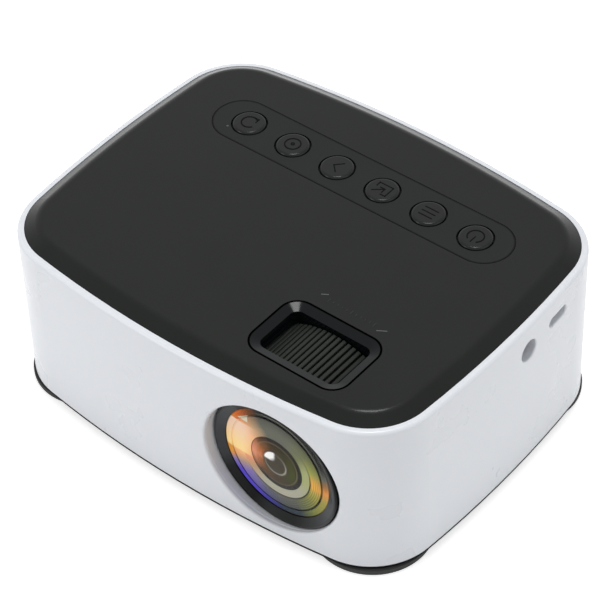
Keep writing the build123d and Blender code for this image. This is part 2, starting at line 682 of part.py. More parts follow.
with BuildPart() as bottom_cover:
    with BuildSketch(Plane.XY.offset(FOOT_HEIGHT)):
        add(case_outline(BASE_INSET))
    extrude(amount=BASE_LIP)
    with BuildSketch(Plane.XY.offset(FOOT_HEIGHT)):
        add(case_outline(inside))
    extrude(amount=BASE_PLATE + UPSTAND_HEIGHT)
    with BuildSketch(Plane.XY.offset(floor_top)):
        add(case_outline(inside + UPSTAND_THICKNESS))
    extrude(amount=UPSTAND_HEIGHT, mode=Mode.SUBTRACT)
    with BuildSketch(Plane.XY.offset(floor_top)):
        with Locations(*posts):
            Circle(POST_RADIUS)
    extrude(amount=BOSS_HEIGHT)
    with BuildSketch(Plane.XY.offset(floor_top)):
        with Locations(*lugs):
            Circle(SMALL_BOSS)
    extrude(amount=engine_bottom - floor_top)
    with BuildSketch(Plane.XY.offset(floor_top)):
        Circle(TRIPOD_BOSS)
    extrude(amount=FOOT_HEIGHT + TRIPOD_INSERT_HEIGHT - floor_top)
    with BuildSketch(Plane.XY.offset(floor_top)):
        with Locations((speaker_x, speaker_y)):
            Circle(SPEAKER_RADIUS + AIR + SPEAKER_WALL)
            Circle(SPEAKER_RADIUS + AIR, mode=Mode.SUBTRACT)
        with Locations((fan_x, fan_front - AIR - FAN_RIB / 2)):
            Rectangle(FAN_SIZE, FAN_RIB)
    extrude(amount=RIB_HEIGHT)
    # Room for the lens and the focus ring
    with BuildSketch(lens_face(half_depth)):
        Circle(TRIM_RADIUS + LENS_AIR)
    extrude(amount=tube_front - half_depth, mode=Mode.SUBTRACT)
    with BuildSketch(lens_face(tube_front)):
        Circle(ring_radius + AIR)
    extrude(amount=engine_front - tube_front, mode=Mode.SUBTRACT)
    # Screw holes from below
    with BuildSketch(Plane.XY.offset(FOOT_HEIGHT)):
        with Locations(*posts):
            Circle(CASE_HEAD + FIT)
    extrude(amount=CASE_HEAD_RECESS + CASE_HEAD_HEIGHT, mode=Mode.SUBTRACT)
    with BuildSketch(Plane.XY.offset(FOOT_HEIGHT)):
        with Locations(*posts):
            Circle(CASE_SHANK + SCREW_AIR)
    extrude(amount=boss_top - FOOT_HEIGHT, mode=Mode.SUBTRACT)
    with BuildSketch(Plane.XY.offset(engine_bottom)):
        with Locations(*lugs):
            Circle(SMALL_SHANK + SCREW_AIR)
    extrude(amount=LUG_THICKNESS - SMALL_SHANK_LENGTH - SCREW_AIR, mode=Mode.SUBTRACT)
    with BuildSketch(Plane.XY.offset(FOOT_HEIGHT)):
        Circle(TRIPOD_INSERT + SCREW_AIR)
    extrude(amount=TRIPOD_INSERT_HEIGHT, mode=Mode.SUBTRACT)
    # Air slots under the fan side, and sound slots under the speaker
    with BuildSketch(Plane.XY.offset(FOOT_HEIGHT)):
        with Locations((fan_x, INTAKE_Y)):
            with GridLocations(VENT_PITCH, 0, VENT_COUNT, 1):
                SlotOverall(INTAKE_LENGTH, VENT_WIDTH, rotation=90)
        with Locations((speaker_x, speaker_y)):
            with GridLocations(VENT_PITCH, 0, SOUND_COUNT, 1):
                SlotOverall(SOUND_LENGTH, VENT_WIDTH, rotation=90)
    extrude(amount=engine_bottom - FOOT_HEIGHT, mode=Mode.SUBTRACT)
    with BuildSketch(Plane.XY.offset(FOOT_HEIGHT)):
        add(foot_sketch(FIT))
    extrude(amount=FOOT_SEAT, mode=Mode.SUBTRACT)
keep(bottom_cover.part, "bottom_cover")

with BuildPart() as feet:
    with BuildSketch():
        add(foot_sketch())
    extrude(amount=FOOT_HEIGHT + FOOT_SEAT)
    fillet(feet.faces().group_by(Axis.Z)[0].edges(), FOOT_ROUND)
for foot in feet.solids():
    end = "rear" if foot.center().Y > 0 else "front"
    side = "right" if foot.center().X > 0 else "left"
    keep(foot, f"foot_{end}_{side}")

with BuildPart() as tripod_insert:
    with BuildSketch(Plane.XY.offset(FOOT_HEIGHT)):
        Circle(TRIPOD_INSERT)
        Circle(TRIPOD_BORE, mode=Mode.SUBTRACT)
    extrude(amount=TRIPOD_INSERT_HEIGHT)
keep(tripod_insert.part, "tripod_insert")

with BuildPart() as case_screws:
    with BuildSketch(Plane.XY.offset(FOOT_HEIGHT + CASE_HEAD_RECESS)):
        with Locations(*posts):
            Circle(CASE_HEAD)
    extrude(amount=CASE_HEAD_HEIGHT)
    with BuildSketch(Plane.XY.offset(case_head_top)):
        with Locations(*posts):
            Circle(CASE_SHANK)
    extrude(amount=CASE_SHANK_LENGTH)
keep(case_screws.part, "case_screws")

# Lens barrel: a turned tube that slides in the lens tube and carries all the glass
lip_back = lens_front - TRIM_SLOPE - TRIM_LIP
glass_edge = lip_back - AIR
glass_seat = glass_edge - GLASS_EDGE
stop_back = glass_seat - BARREL_STOP_LENGTH
group_radius = barrel_bore - FIT
retainer_front = barrel_back + 2 * RETAINER_LENGTH
rear_glass_front = retainer_front + REAR_GLASS_EDGE
stop_radius = barrel_bore - BARREL_STOP
baffle_back = stop_back - BAFFLE_FLANGE
baffle_front = glass_seat - AIR
baffle_middle = baffle_front + (BAFFLE_STEPS + 1) * BAFFLE_STEP
middle_glass_back = baffle_middle - MIDDLE_GLASS_SEAT
pin_angles = [90 + i * 360 / PIN_COUNT for i in range(PIN_COUNT)]


def turned(*profile):
    """Solid of revolution about the lens axis from points of radius and forward distance."""
    with BuildPart() as piece:
        with BuildSketch(lens_section):
            with BuildLine():
                Polyline(*profile, close=True)
            make_face()
        revolve(axis=lens_axis)
    return piece.part


def radial_plane(angle):
    """Plane through the lens axis at the pins, facing outwards at an angle from +X towards +Z."""
    out = (cos(radians(angle)), 0, sin(radians(angle)))
    return Plane((lens_x, -pin_forward, lens_z), x_dir=(0, -1, 0), z_dir=out)


with BuildPart() as lens_barrel:
    add(
        turned(
            (BARREL_RADIUS, barrel_back),
            (BARREL_RADIUS, flange_back),
            (TRIM_RADIUS, flange_back),
            (TRIM_RADIUS, flange_front),
            (GLASS_RADIUS + FIT, flange_front),
            (GLASS_RADIUS + FIT, glass_seat),
            (stop_radius, glass_seat),
            (stop_radius, stop_back),
            (barrel_bore, stop_back),
            (barrel_bore, barrel_back),
        )
    )
    for angle in pin_angles:
        with BuildSketch(radial_plane(angle)):
            Circle(PIN_RADIUS + SCREW_AIR)
        extrude(amount=BARREL_RADIUS + CUT, mode=Mode.SUBTRACT)
keep(lens_barrel.part, "lens_barrel")

trim_ring = turned(
    (TRIM_RADIUS, flange_front),
    (TRIM_RADIUS, lens_front),
    (TRIM_RADIUS - TRIM_FACE, lens_front),
    (SIGHT_RADIUS, lens_front - TRIM_SLOPE),
    (SIGHT_RADIUS, lip_back),
    (GLASS_RADIUS + FIT, lip_back),
    (GLASS_RADIUS + FIT, flange_front),
)
keep(trim_ring, "trim_ring")

with BuildPart() as front_glass:
    with BuildSketch(lens_section):
        with BuildLine():
            apex = glass_edge + sag(GLASS_RADIUS, GLASS_CURVE)
            hollow = glass_seat + sag(stop_radius, GLASS_BACK_CURVE)
            half = GLASS_RADIUS / 2
            Line((0, apex), (0, hollow))
            ThreePointArc((0, hollow), (half, hollow - sag(half, GLASS_BACK_CURVE)), (stop_radius, glass_seat))
            Polyline((stop_radius, glass_seat), (GLASS_RADIUS, glass_seat), (GLASS_RADIUS, glass_edge))
            ThreePointArc((GLASS_RADIUS, glass_edge), (half, apex - sag(half, GLASS_CURVE)), (0, apex))
        make_face()
    revolve(axis=lens_axis)
keep(front_glass.part, "front_glass")

# Baffle behind the front glass: fine steps that trap stray light, and the seat of the middle glass
step_width = (BAFFLE_OUTER - BAFFLE_INNER) / BAFFLE_STEPS
baffle_steps = [
    (BAFFLE_OUTER - i * step_width, baffle_front + (i + rise) * BAFFLE_STEP)
    for i in range(BAFFLE_STEPS + 1)
    for rise in (0, 1)
]

lens_baffle = turned(
    (group_radius, baffle_back),
    (group_radius, stop_back),
    (stop_radius - FIT, stop_back),
    (stop_radius - FIT, baffle_front),
    (BAFFLE_OUTER + BAFFLE_GROOVE, baffle_front),
    (BAFFLE_OUTER + BAFFLE_GROOVE, baffle_front - BAFFLE_GROOVE),
    (BAFFLE_OUTER, baffle_front - BAFFLE_GROOVE),
    *baffle_steps,
    (BAFFLE_INNER - BAFFLE_GROOVE / 2, baffle_middle),
    (BAFFLE_INNER - BAFFLE_GROOVE / 2, baffle_middle - BAFFLE_GROOVE),
    (BAFFLE_INNER - BAFFLE_GROOVE, baffle_middle - BAFFLE_GROOVE),
    (BAFFLE_INNER - BAFFLE_GROOVE, baffle_middle),
    (MIDDLE_GLASS_RADIUS + FIT, baffle_middle),
    (MIDDLE_GLASS_RADIUS + FIT, middle_glass_back),
    (APERTURE_RADIUS, middle_glass_back),
    (APERTURE_RADIUS, middle_glass_back - APERTURE_PLATE),
    (stop_radius - BAFFLE_WALL, middle_glass_back - APERTURE_PLATE),
    (stop_radius - BAFFLE_WALL, baffle_back),
)
keep(lens_baffle, "lens_baffle")

with BuildPart() as middle_glass:
    with BuildSketch(lens_section):
        with BuildLine():
            middle_glass_front = middle_glass_back + MIDDLE_GLASS_EDGE
            bulge = middle_glass_front + sag(MIDDLE_GLASS_RADIUS, MIDDLE_GLASS_CURVE)
            half = MIDDLE_GLASS_RADIUS / 2
            Polyline(
                (0, bulge),
                (0, middle_glass_back),
                (MIDDLE_GLASS_RADIUS, middle_glass_back),
                (MIDDLE_GLASS_RADIUS, middle_glass_front),
            )
            ThreePointArc(
                (MIDDLE_GLASS_RADIUS, middle_glass_front),
                (half, bulge - sag(half, MIDDLE_GLASS_CURVE)),
                (0, bulge),
            )
        make_face()
    revolve(axis=lens_axis)
keep(middle_glass.part, "middle_glass")

lens_spacer = turned(
    (group_radius, rear_glass_front),
    (group_radius, baffle_back),
    (group_radius - SPACER_WALL, baffle_back),
    (group_radius - SPACER_WALL, rear_glass_front),
)
keep(lens_spacer, "lens_spacer")

with BuildPart() as rear_glass:
    with BuildSketch(lens_section):
        with BuildLine():
            seat_radius = group_radius - SPACER_WALL - AIR
            bulge = rear_glass_front + sag(seat_radius, REAR_GLASS_CURVE)
            half = seat_radius / 2
            Polyline(
                (0, bulge),
                (0, retainer_front),
                (group_radius, retainer_front),
                (group_radius, rear_glass_front),
                (seat_radius, rear_glass_front),
            )
            ThreePointArc(
                (seat_radius, rear_glass_front), (half, bulge - sag(half, REAR_GLASS_CURVE)), (0, bulge)
            )
        make_face()
    revolve(axis=lens_axis)
keep(rear_glass.part, "rear_glass")

rear_retainer = turned(
    (group_radius, retainer_front - RETAINER_LENGTH),
    (group_radius, retainer_front),
    (group_radius - 2 * SPACER_WALL, retainer_front),
    (group_radius - 2 * SPACER_WALL, retainer_front - RETAINER_LENGTH),
)
keep(rear_retainer, "rear_retainer")

with BuildPart() as guide_pins:
    for angle in pin_angles:
        with BuildSketch(radial_plane(angle).offset(barrel_bore + FIT)):
            Circle(PIN_RADIUS)
        extrude(amount=ring_bore + GROOVE_DEPTH - FIT - barrel_bore - FIT)
keep(guide_pins.part, "guide_pins")

# Lens tube: fixed to the engine, with three straight slots for the guide pins
flange_screws = [(x, z) for x in (-FLANGE_SCREW_X, FLANGE_SCREW_X) for z in (-FLANGE_SCREW_Z, FLANGE_SCREW_Z)]

with BuildPart() as lens_tube:
    with BuildSketch(lens_face(engine_front)):
        RectangleRounded(ENGINE_WIDTH, TUBE_FLANGE_HEIGHT, TUBE_FLANGE_CORNER)
    extrude(amount=TUBE_FLANGE)
    with BuildSketch(lens_face(tube_back)):
        Circle(tube_radius)
    extrude(amount=tube_front - tube_back)
    with BuildSketch(lens_face(engine_front)):
        Circle(tube_bore)
    extrude(amount=tube_front - engine_front, mode=Mode.SUBTRACT)
    with BuildSketch(lens_face(clip_front - CLIP_THICKNESS - SCREW_AIR)):
        Circle(tube_radius + CUT)
        Circle(tube_radius - CLIP_GROOVE, mode=Mode.SUBTRACT)
    extrude(amount=CLIP_THICKNESS + 2 * SCREW_AIR, mode=Mode.SUBTRACT)
    for angle in pin_angles:
        with BuildSketch(radial_plane(angle)):
            SlotOverall(2 * (FOCUS_TRAVEL + PIN_RADIUS + AIR), 2 * (PIN_RADIUS + SCREW_AIR))
        extrude(amount=tube_radius + CUT, mode=Mode.SUBTRACT)
    with BuildSketch(lens_face(engine_front)):
        with Locations(*flange_screws):
            Circle(SMALL_SHANK + SCREW_AIR)
    extrude(amount=TUBE_FLANGE, mode=Mode.SUBTRACT)
keep(lens_tube.part, "lens_tube")

with BuildPart() as ring_clip:
    with BuildSketch(lens_face(clip_front - CLIP_THICKNESS)):
        Circle(tube_radius + CLIP_RIM)
        Circle(tube_radius - CLIP_GROOVE + SCREW_AIR, mode=Mode.SUBTRACT)
        with Locations((0, -tube_radius)):
            Rectangle(CLIP_OPENING, 2 * CLIP_OPENING, mode=Mode.SUBTRACT)
    extrude(amount=CLIP_THICKNESS)
keep(ring_clip.part, "ring_clip")

# Focus ring: a ribbed grip outside, and inside a helical groove for each guide pin, so that
# turning the ring screws the barrel in and out
rise_per_degree = FOCUS_TRAVEL / FOCUS_TURN
groove_span = 2 * (FOCUS_TURN + GROOVE_END)
groove_rise = groove_span * rise_per_degree
groove_middle = ring_bore + (GROOVE_DEPTH - CUT) / 2
rib_gaps = int(GRIP_SPAN / RIB_PITCH)
gap_span = (rib_gaps - 1) * RIB_PITCH
grip_back = (ring_front + ring_back - GRIP_LENGTH) / 2

with BuildPart() as cam_groove:
    with BuildLine() as groove_path:
        Helix(
            pitch=360 * rise_per_degree,
            height=groove_rise,
            radius=groove_middle,
            center=(0, 0, -groove_rise / 2),
        )
    with BuildSketch(Plane(groove_path.line @ 0, x_dir=(1, 0, 0), z_dir=groove_path.line % 0)):
        Rectangle(GROOVE_DEPTH + CUT, 2 * (PIN_RADIUS + SCREW_AIR))
    sweep(path=groove_path.line, is_frenet=True)

with BuildPart() as focus_ring:
    with BuildSketch(lens_face(ring_back)):
        Circle(ring_radius)
        Circle(ring_bore, mode=Mode.SUBTRACT)
    extrude(amount=RING_LENGTH)
    with BuildSketch(lens_face(grip_back)):
        with BuildLine():
            outer = CenterArc((0, 0), grip_radius, 90 - GRIP_SPAN / 2, GRIP_SPAN)
            inner = CenterArc((0, 0), ring_radius - RING_WALL / 2, 90 - GRIP_SPAN / 2, GRIP_SPAN)
            Line(outer @ 0, inner @ 0)
            Line(outer @ 1, inner @ 1)
        make_face()
        with PolarLocations(grip_radius, rib_gaps, 90 - gap_span / 2, gap_span, endpoint=True):
            Polygon(
                (-RIB_DEPTH, -RIB_GAP_ROOT / 2),
                (RIB_DEPTH, -RIB_GAP_MOUTH),
                (RIB_DEPTH, RIB_GAP_MOUTH),
                (-RIB_DEPTH, RIB_GAP_ROOT / 2),
                align=None,
                mode=Mode.SUBTRACT,
            )
    extrude(amount=GRIP_LENGTH)
    with Locations(lens_face(pin_forward)):
        with PolarLocations(0, PIN_COUNT, 90 - groove_span / 2):
            add(cam_groove.part, mode=Mode.SUBTRACT)
keep(focus_ring.part, "focus_ring")

# Optical engine: an open box that holds the plates between ribs, with its lid
plates = {
    "field_lens": (FIELD_LENS_AT, FIELD_LENS),
    "display_panel": (LCD_AT, LCD),
    "heat_glass": (HEAT_GLASS_AT, HEAT_GLASS),
    "condenser_plate": (CONDENSER_AT, CONDENSER),
}
box_length = engine_front - engine_rear
box_y = -(engine_front + engine_rear) / 2
box_top = engine_top - ENGINE_LID
box_floor = engine_bottom + ENGINE_WALL
inner_width = ENGINE_WIDTH - 2 * ENGINE_WALL
plate_width = inner_width - 2 * PLATE_AIR
plate_height = box_top - box_floor - PLATE_AIR
display_y = LCD_AT - engine_front
sink_screws = [(x, z) for x in (-SINK_SCREW_X, SINK_SCREW_X) for z in (-SINK_SCREW_Z, SINK_SCREW_Z)]

with BuildPart() as engine_housing:
    with BuildSketch(Plane.XY.offset(engine_bottom)):
        with Locations((lens_x, box_y)):
            Rectangle(ENGINE_WIDTH, box_length)
    extrude(amount=box_top - engine_bottom)
    with BuildSketch(Plane.XY.offset(box_floor)):
        with Locations((lens_x, box_y)):
            Rectangle(inner_width, box_length - 2 * ENGINE_WALL)
    extrude(amount=box_top - box_floor, mode=Mode.SUBTRACT)
    with BuildSketch(Plane.XY.offset(box_floor)):
        for distance, thickness in plates.values():
            step = thickness / 2 + PLATE_AIR + PLATE_RIB / 2
            for y in (distance - engine_front - step, distance - engine_front + step):
                for side in (-1, 1):
                    with Locations((lens_x + side * (inner_width - PLATE_RIB_DEPTH) / 2, y)):
                        Rectangle(PLATE_RIB_DEPTH, PLATE_RIB)
    extrude(amount=box_top - box_floor)
    with BuildSketch(Plane.XY.offset(engine_bottom)):
        with Locations(*lugs):
            Rectangle(LUG_WIDTH, LUG_LENGTH)
            Circle(SMALL_SHANK + SCREW_AIR, mode=Mode.SUBTRACT)
    extrude(amount=LUG_THICKNESS)
    with BuildSketch(lens_face(engine_front - ENGINE_WALL - SMALL_BOSS)):
        with Locations(*flange_screws):
            Circle(SMALL_BOSS)
    extrude(amount=SMALL_BOSS)
    with BuildSketch(lens_face(engine_front)):
        Circle(LIGHT_HOLE)
        with Locations(*flange_screws):
            Circle(SMALL_SHANK + SCREW_AIR)
    extrude(amount=-SMALL_SHANK_LENGTH, mode=Mode.SUBTRACT)
    with BuildSketch(lens_face(engine_rear)):
        Circle(LED_BOARD_RADIUS + AIR)
        with Locations(*sink_screws):
            Circle(SMALL_SHANK + SCREW_AIR)
    extrude(amount=ENGINE_WALL, mode=Mode.SUBTRACT)
keep(engine_housing.part, "engine_housing")

with BuildPart() as engine_lid:
    with BuildSketch(Plane.XY.offset(box_top)):
        with Locations((lens_x, box_y)):
            Rectangle(ENGINE_WIDTH, box_length)
        with Locations((lens_x, display_y)):
            Rectangle(FLEX_WIDTH + 2 * AIR, FLEX_THICKNESS + 2 * AIR, mode=Mode.SUBTRACT)
    extrude(amount=ENGINE_LID)
keep(engine_lid.part, "engine_lid")

for name, (distance, thickness) in plates.items():
    with BuildPart() as plate:
        with BuildSketch(Plane.XY.offset(box_floor)):
            with Locations((lens_x, distance - engine_front)):
                Rectangle(plate_width, thickness)
        extrude(amount=plate_height)
    keep(plate.part, name)

# Light funnel, LED and its board, and the heat sink behind them
funnel_front = engine_front - CONDENSER_AT - CONDENSER / 2 - PLATE_AIR - PLATE_RIB - AIR
funnel_rear = engine_rear + ENGINE_WALL + AIR

with BuildPart() as light_funnel:
    with BuildSketch(lens_face(funnel_rear)):
        RectangleRounded(FUNNEL_THROAT, FUNNEL_THROAT, FUNNEL_CORNER)
    with BuildSketch(lens_face(funnel_front)):
        RectangleRounded(plate_width, plate_height, FUNNEL_CORNER)
    loft(ruled=True)
    with BuildSketch(lens_face(funnel_rear)):
        RectangleRounded(
            FUNNEL_THROAT - 2 * FUNNEL_WALL, FUNNEL_THROAT - 2 * FUNNEL_WALL, FUNNEL_CORNER - FUNNEL_WALL
        )
    with BuildSketch(lens_face(funnel_front)):
        RectangleRounded(
            plate_width - 2 * FUNNEL_WALL, plate_height - 2 * FUNNEL_WALL, FUNNEL_CORNER - FUNNEL_WALL
        )
    loft(ruled=True, mode=Mode.SUBTRACT)
keep(light_funnel.part, "light_funnel")

with BuildPart() as led_board:
    with BuildSketch(lens_face(engine_rear)):
        RegularPolygon(LED_BOARD_RADIUS, 6)
    extrude(amount=LED_BOARD)
keep(led_board.part, "led_board")

with BuildPart() as led_emitter:
    with BuildSketch(lens_face(engine_rear + LED_BOARD)):
        Circle(LED_RADIUS)
    extrude(amount=LED_BASE)
    fillet(led_emitter.faces().sort_by(Axis.Y)[0].edges(), LED_BASE / 2)
keep(led_emitter.part, "led_emitter")

fin_pitch = (HEAT_SINK_WIDTH - FIN_THICKNESS) / (FIN_COUNT - 1)
with BuildPart() as heat_sink:
    with BuildSketch(lens_face(engine_rear)):
        Rectangle(HEAT_SINK_WIDTH, HEAT_SINK_HEIGHT)
    extrude(amount=-HEAT_SINK_BASE)
    with BuildSketch(lens_face(engine_rear - HEAT_SINK_BASE)):
        with GridLocations(fin_pitch, 0, FIN_COUNT, 1):
            Rectangle(FIN_THICKNESS, HEAT_SINK_HEIGHT)
    extrude(amount=HEAT_SINK_BASE - HEAT_SINK_DEPTH)
    with BuildSketch(lens_face(engine_rear - HEAT_SINK_BASE)):
        with Locations(*sink_screws):
            Circle(SMALL_HEAD + AIR)
    extrude(amount=HEAT_SINK_BASE - HEAT_SINK_DEPTH, mode=Mode.SUBTRACT)
    with BuildSketch(lens_face(engine_rear)):
        with Locations(*sink_screws):
            Circle(SMALL_SHANK + SCREW_AIR)
    extrude(amount=-HEAT_SINK_BASE, mode=Mode.SUBTRACT)
keep(heat_sink.part, "heat_sink")


def small_screws(seat, places, sign):
    """Small screws on a plane: heads on its facing side when sign is 1, shanks behind it."""
    with BuildPart() as group:
        with BuildSketch(seat):
            with Locations(*places):
                Circle(SMALL_HEAD)
        extrude(amount=sign * SMALL_HEAD_HEIGHT)
        with BuildSketch(seat):
            with Locations(*places):
                Circle(SMALL_SHANK)
        extrude(amount=-sign * SMALL_SHANK_LENGTH)
    return group.part


keep(small_screws(lens_face(tube_back), flange_screws, 1), "tube_screws")
keep(small_screws(lens_face(engine_rear - HEAT_SINK_BASE), sink_screws, -1), "heat_sink_screws")
keep(small_screws(Plane.XY.offset(engine_bottom + LUG_THICKNESS), lugs, 1), "engine_screws")
keep(small_screws(Plane.XY.offset(board_bottom), board_screws, -1), "board_screws")

# Fan: a square frame with its stator, and an impeller with pitched blades
blade_tip = sqrt((FAN_BORE - BLADE_AIR) ** 2 - (BLADE_CHORD / 2) ** 2)
blade_root = FAN_HUB - BLADE_THICKNESS / 2
hub_rear = fan_rear - STATOR - AIR
hub_length = FAN_DEPTH - STATOR - 2 * AIR


def fan_face(y):
    """Plane square to the fan's axis, facing the front of the case."""
    return Plane((fan_x, y, fan_z), x_dir=(1, 0, 0), z_dir=(0, -1, 0))


with BuildPart() as fan_frame:
    with BuildSketch(fan_face(fan_rear)):
        RectangleRounded(FAN_SIZE, FAN_SIZE, FAN_CORNER)
        Circle(FAN_BORE, mode=Mode.SUBTRACT)
        with GridLocations(FAN_HOLE_PITCH, FAN_HOLE_PITCH, 2, 2):
            Circle(FAN_HOLE, mode=Mode.SUBTRACT)
    extrude(amount=FAN_DEPTH)
    with BuildSketch(fan_face(fan_rear)):
        Circle(FAN_HUB)
        with PolarLocations((FAN_BORE + FAN_HUB) / 2, STRUT_COUNT, 45):
            Rectangle(FAN_BORE - FAN_HUB + STRUT_WIDTH, STRUT_WIDTH)
    extrude(amount=STATOR)
    with BuildSketch(fan_face(fan_rear)):
        Circle(BEARING_RADIUS)
    extrude(amount=BEARING_LENGTH)
    with BuildSketch(fan_face(fan_rear)):
        Circle(FAN_SHAFT + SCREW_AIR)
    extrude(amount=BEARING_LENGTH, mode=Mode.SUBTRACT)
keep(fan_frame.part, "fan_frame")

with BuildPart() as fan_impeller:
    with BuildSketch(fan_face(hub_rear)):
        Circle(FAN_HUB)
    extrude(amount=hub_length)
    fillet(fan_impeller.faces().sort_by(Axis.Y)[0].edges(), BLADE_THICKNESS / 2)
    with BuildSketch(fan_face(hub_rear)):
        Circle(FAN_HUB - BLADE_THICKNESS)
    extrude(amount=hub_length - BLADE_THICKNESS, mode=Mode.SUBTRACT)
    with BuildSketch(fan_face(fan_rear - AIR)):
        Circle(FAN_SHAFT)
    extrude(amount=hub_length + STATOR - BLADE_THICKNESS / 2)
    for i in range(BLADE_COUNT):
        angle = 2 * pi * i / BLADE_COUNT
        out = (cos(angle), 0, sin(angle))
        centre = (fan_x + blade_root * out[0], hub_rear - hub_length / 2, fan_z + blade_root * out[2])
        with BuildSketch(Plane(centre, x_dir=(0, -1, 0), z_dir=out)):
            Rectangle(BLADE_CHORD, BLADE_THICKNESS, rotation=BLADE_PITCH)
        extrude(amount=blade_tip - blade_root)
keep(fan_impeller.part, "fan_impeller")

# Main board, an L that leaves room for the lens, with what is soldered to it
flex_end = display_y + FLEX_RUN

with BuildPart() as main_board:
    with BuildSketch(Plane.XY.offset(board_bottom)):
        with BuildLine():
            Polyline(
                (-board_edge, board_front),
                (board_split, board_front),
                (board_split, board_step),
                (board_edge, board_step),
                (board_edge, board_rear),
                (-board_edge, board_rear),
                close=True,
            )
        make_face()
        add(case_outline(inside + SHELF_WIDTH + AIR), mode=Mode.INTERSECT)
        with Locations(*posts):
            Circle(POST_RADIUS + BOARD_POST_AIR, mode=Mode.SUBTRACT)
        with Locations(*board_screws):
            Circle(SMALL_SHANK + SCREW_AIR, mode=Mode.SUBTRACT)
        with Locations((lens_x, display_y)):
            Rectangle(FLEX_WIDTH + 2 * AIR, FLEX_THICKNESS + 2 * AIR, mode=Mode.SUBTRACT)
    extrude(amount=BOARD_THICKNESS)
keep(main_board.part, "main_board")

with BuildPart() as board_chips:
    for x, y, width, length, height in CHIPS:
        with BuildSketch(Plane.XY.offset(board_top)):
            with Locations((x - board_edge, board_front + y)):
                Rectangle(width, length)
        extrude(amount=height)
    with BuildSketch(Plane.XY.offset(board_top)):
        with Locations((lens_x, flex_end + FLEX_PLUG / 2)):
            Rectangle(FLEX_WIDTH + 2 * SEAT, FLEX_PLUG)
    extrude(amount=2 * FLEX_LIFT)
keep(board_chips.part, "board_chips")

with BuildPart() as capacitors:
    with BuildSketch(Plane.XY.offset(board_top)):
        with Locations(*[(x - board_edge, board_front + y) for x, y in CAPACITORS]):
            Circle(CAPACITOR_RADIUS)
    extrude(amount=CAPACITOR_HEIGHT)
    fillet(capacitors.faces().group_by(Axis.Z)[-1].edges(), CAPACITOR_ROUND)
keep(capacitors.part, "capacitors")

with BuildPart() as display_flex:
    with BuildSketch(Plane.YZ.offset(lens_x - FLEX_WIDTH / 2)):
        with BuildLine():
            Polyline(
                (display_y - FLEX_THICKNESS / 2, box_floor + plate_height),
                (display_y + FLEX_THICKNESS / 2, box_floor + plate_height),
                (display_y + FLEX_THICKNESS / 2, board_top + FLEX_LIFT),
                (flex_end, board_top + FLEX_LIFT),
                (flex_end, board_top + FLEX_LIFT + FLEX_THICKNESS),
                (display_y - FLEX_THICKNESS / 2, board_top + FLEX_LIFT + FLEX_THICKNESS),
                close=True,
            )
        make_face()
    extrude(amount=FLEX_WIDTH)
keep(display_flex.part, "display_flex")


def socket(face, y, width, height, length, corner):
    """Shell under the board, open towards the side that its face is on, with its tongue."""
    inward = -1 if face > 0 else 1
    with BuildPart() as shell:
        with BuildSketch(Plane.YZ.offset(face)):
            with Locations((y, board_bottom - height / 2)):
                outline = Rectangle(width, height)
            chamfer(outline.vertices().group_by(Axis.Z)[0], corner)
        extrude(amount=inward * length)
        with BuildSketch(Plane.YZ.offset(face)):
            with Locations((y, board_bottom - height / 2)):
                mouth = Rectangle(width - 2 * SOCKET_WALL, height - 2 * SOCKET_WALL)
            chamfer(mouth.vertices().group_by(Axis.Z)[0], corner * (1 - SOCKET_WALL / height))
        extrude(amount=inward * (length - 2 * SOCKET_WALL), mode=Mode.SUBTRACT)
        with BuildSketch(Plane.YZ.offset(face + inward * 2 * SOCKET_WALL)):
            with Locations((y, board_bottom - height / 2)):
                Rectangle(width * TONGUE_WIDTH, height * TONGUE_HEIGHT)
        extrude(amount=inward * (length - 3 * SOCKET_WALL))
    return shell.part


left_face = AIR + SLEEVE_WALL - side_wall(VIDEO_Y)
right_face = side_wall(POWER_Y) - SLEEVE_WALL - AIR
keep(socket(left_face, VIDEO_Y, VIDEO_WIDTH, VIDEO_HEIGHT, VIDEO_LENGTH, VIDEO_CORNER), "video_socket")
keep(socket(left_face, DATA_Y, DATA_WIDTH, DATA_HEIGHT, DATA_LENGTH, DATA_CORNER), "data_socket")
keep(socket(left_face, CARD_Y, CARD_WIDTH, CARD_HEIGHT, CARD_LENGTH, CARD_CORNER), "card_socket")
keep(socket(right_face, POWER_Y, POWER_WIDTH, POWER_HEIGHT, POWER_LENGTH, POWER_CORNER), "power_socket")

with BuildPart() as audio_jack:
    with BuildSketch(Plane.YZ.offset(side_wall(JACK_Y) - SLEEVE_WALL - JACK_COLLAR - AIR)):
        with Locations((JACK_Y, jack_z)):
            Rectangle(JACK_WIDTH, JACK_HEIGHT)
            Circle(JACK_BORE, mode=Mode.SUBTRACT)
    extrude(amount=-JACK_LENGTH)
keep(audio_jack.part, "audio_jack")

# Speaker, facing down onto the floor
with BuildPart() as speaker:
    with BuildSketch(Plane((speaker_x, speaker_y, floor_top), x_dir=(1, 0, 0), z_dir=(0, -1, 0))):
        top = SPEAKER_RIM + SPEAKER_BASKET + SPEAKER_MAGNET_HEIGHT
        with BuildLine():
            Polyline(
                (0, SPEAKER_RIM + SPEAKER_BASKET / 2),
                (SPEAKER_MAGNET / 2, SPEAKER_RIM + SPEAKER_BASKET / 2),
                (SPEAKER_RADIUS - SPEAKER_RIM, SPEAKER_RIM / 2),
                (SPEAKER_RADIUS - SPEAKER_RIM, 0),
                (SPEAKER_RADIUS, 0),
                (SPEAKER_RADIUS, SPEAKER_RIM),
                (SPEAKER_MAGNET + SPEAKER_RIM, SPEAKER_RIM + SPEAKER_BASKET),
                (SPEAKER_MAGNET, SPEAKER_RIM + SPEAKER_BASKET),
                (SPEAKER_MAGNET, top),
                (0, top),
                close=True,
            )
        make_face()
    revolve(axis=Axis((speaker_x, speaker_y, 0), (0, 0, 1)))
keep(speaker.part, "speaker")
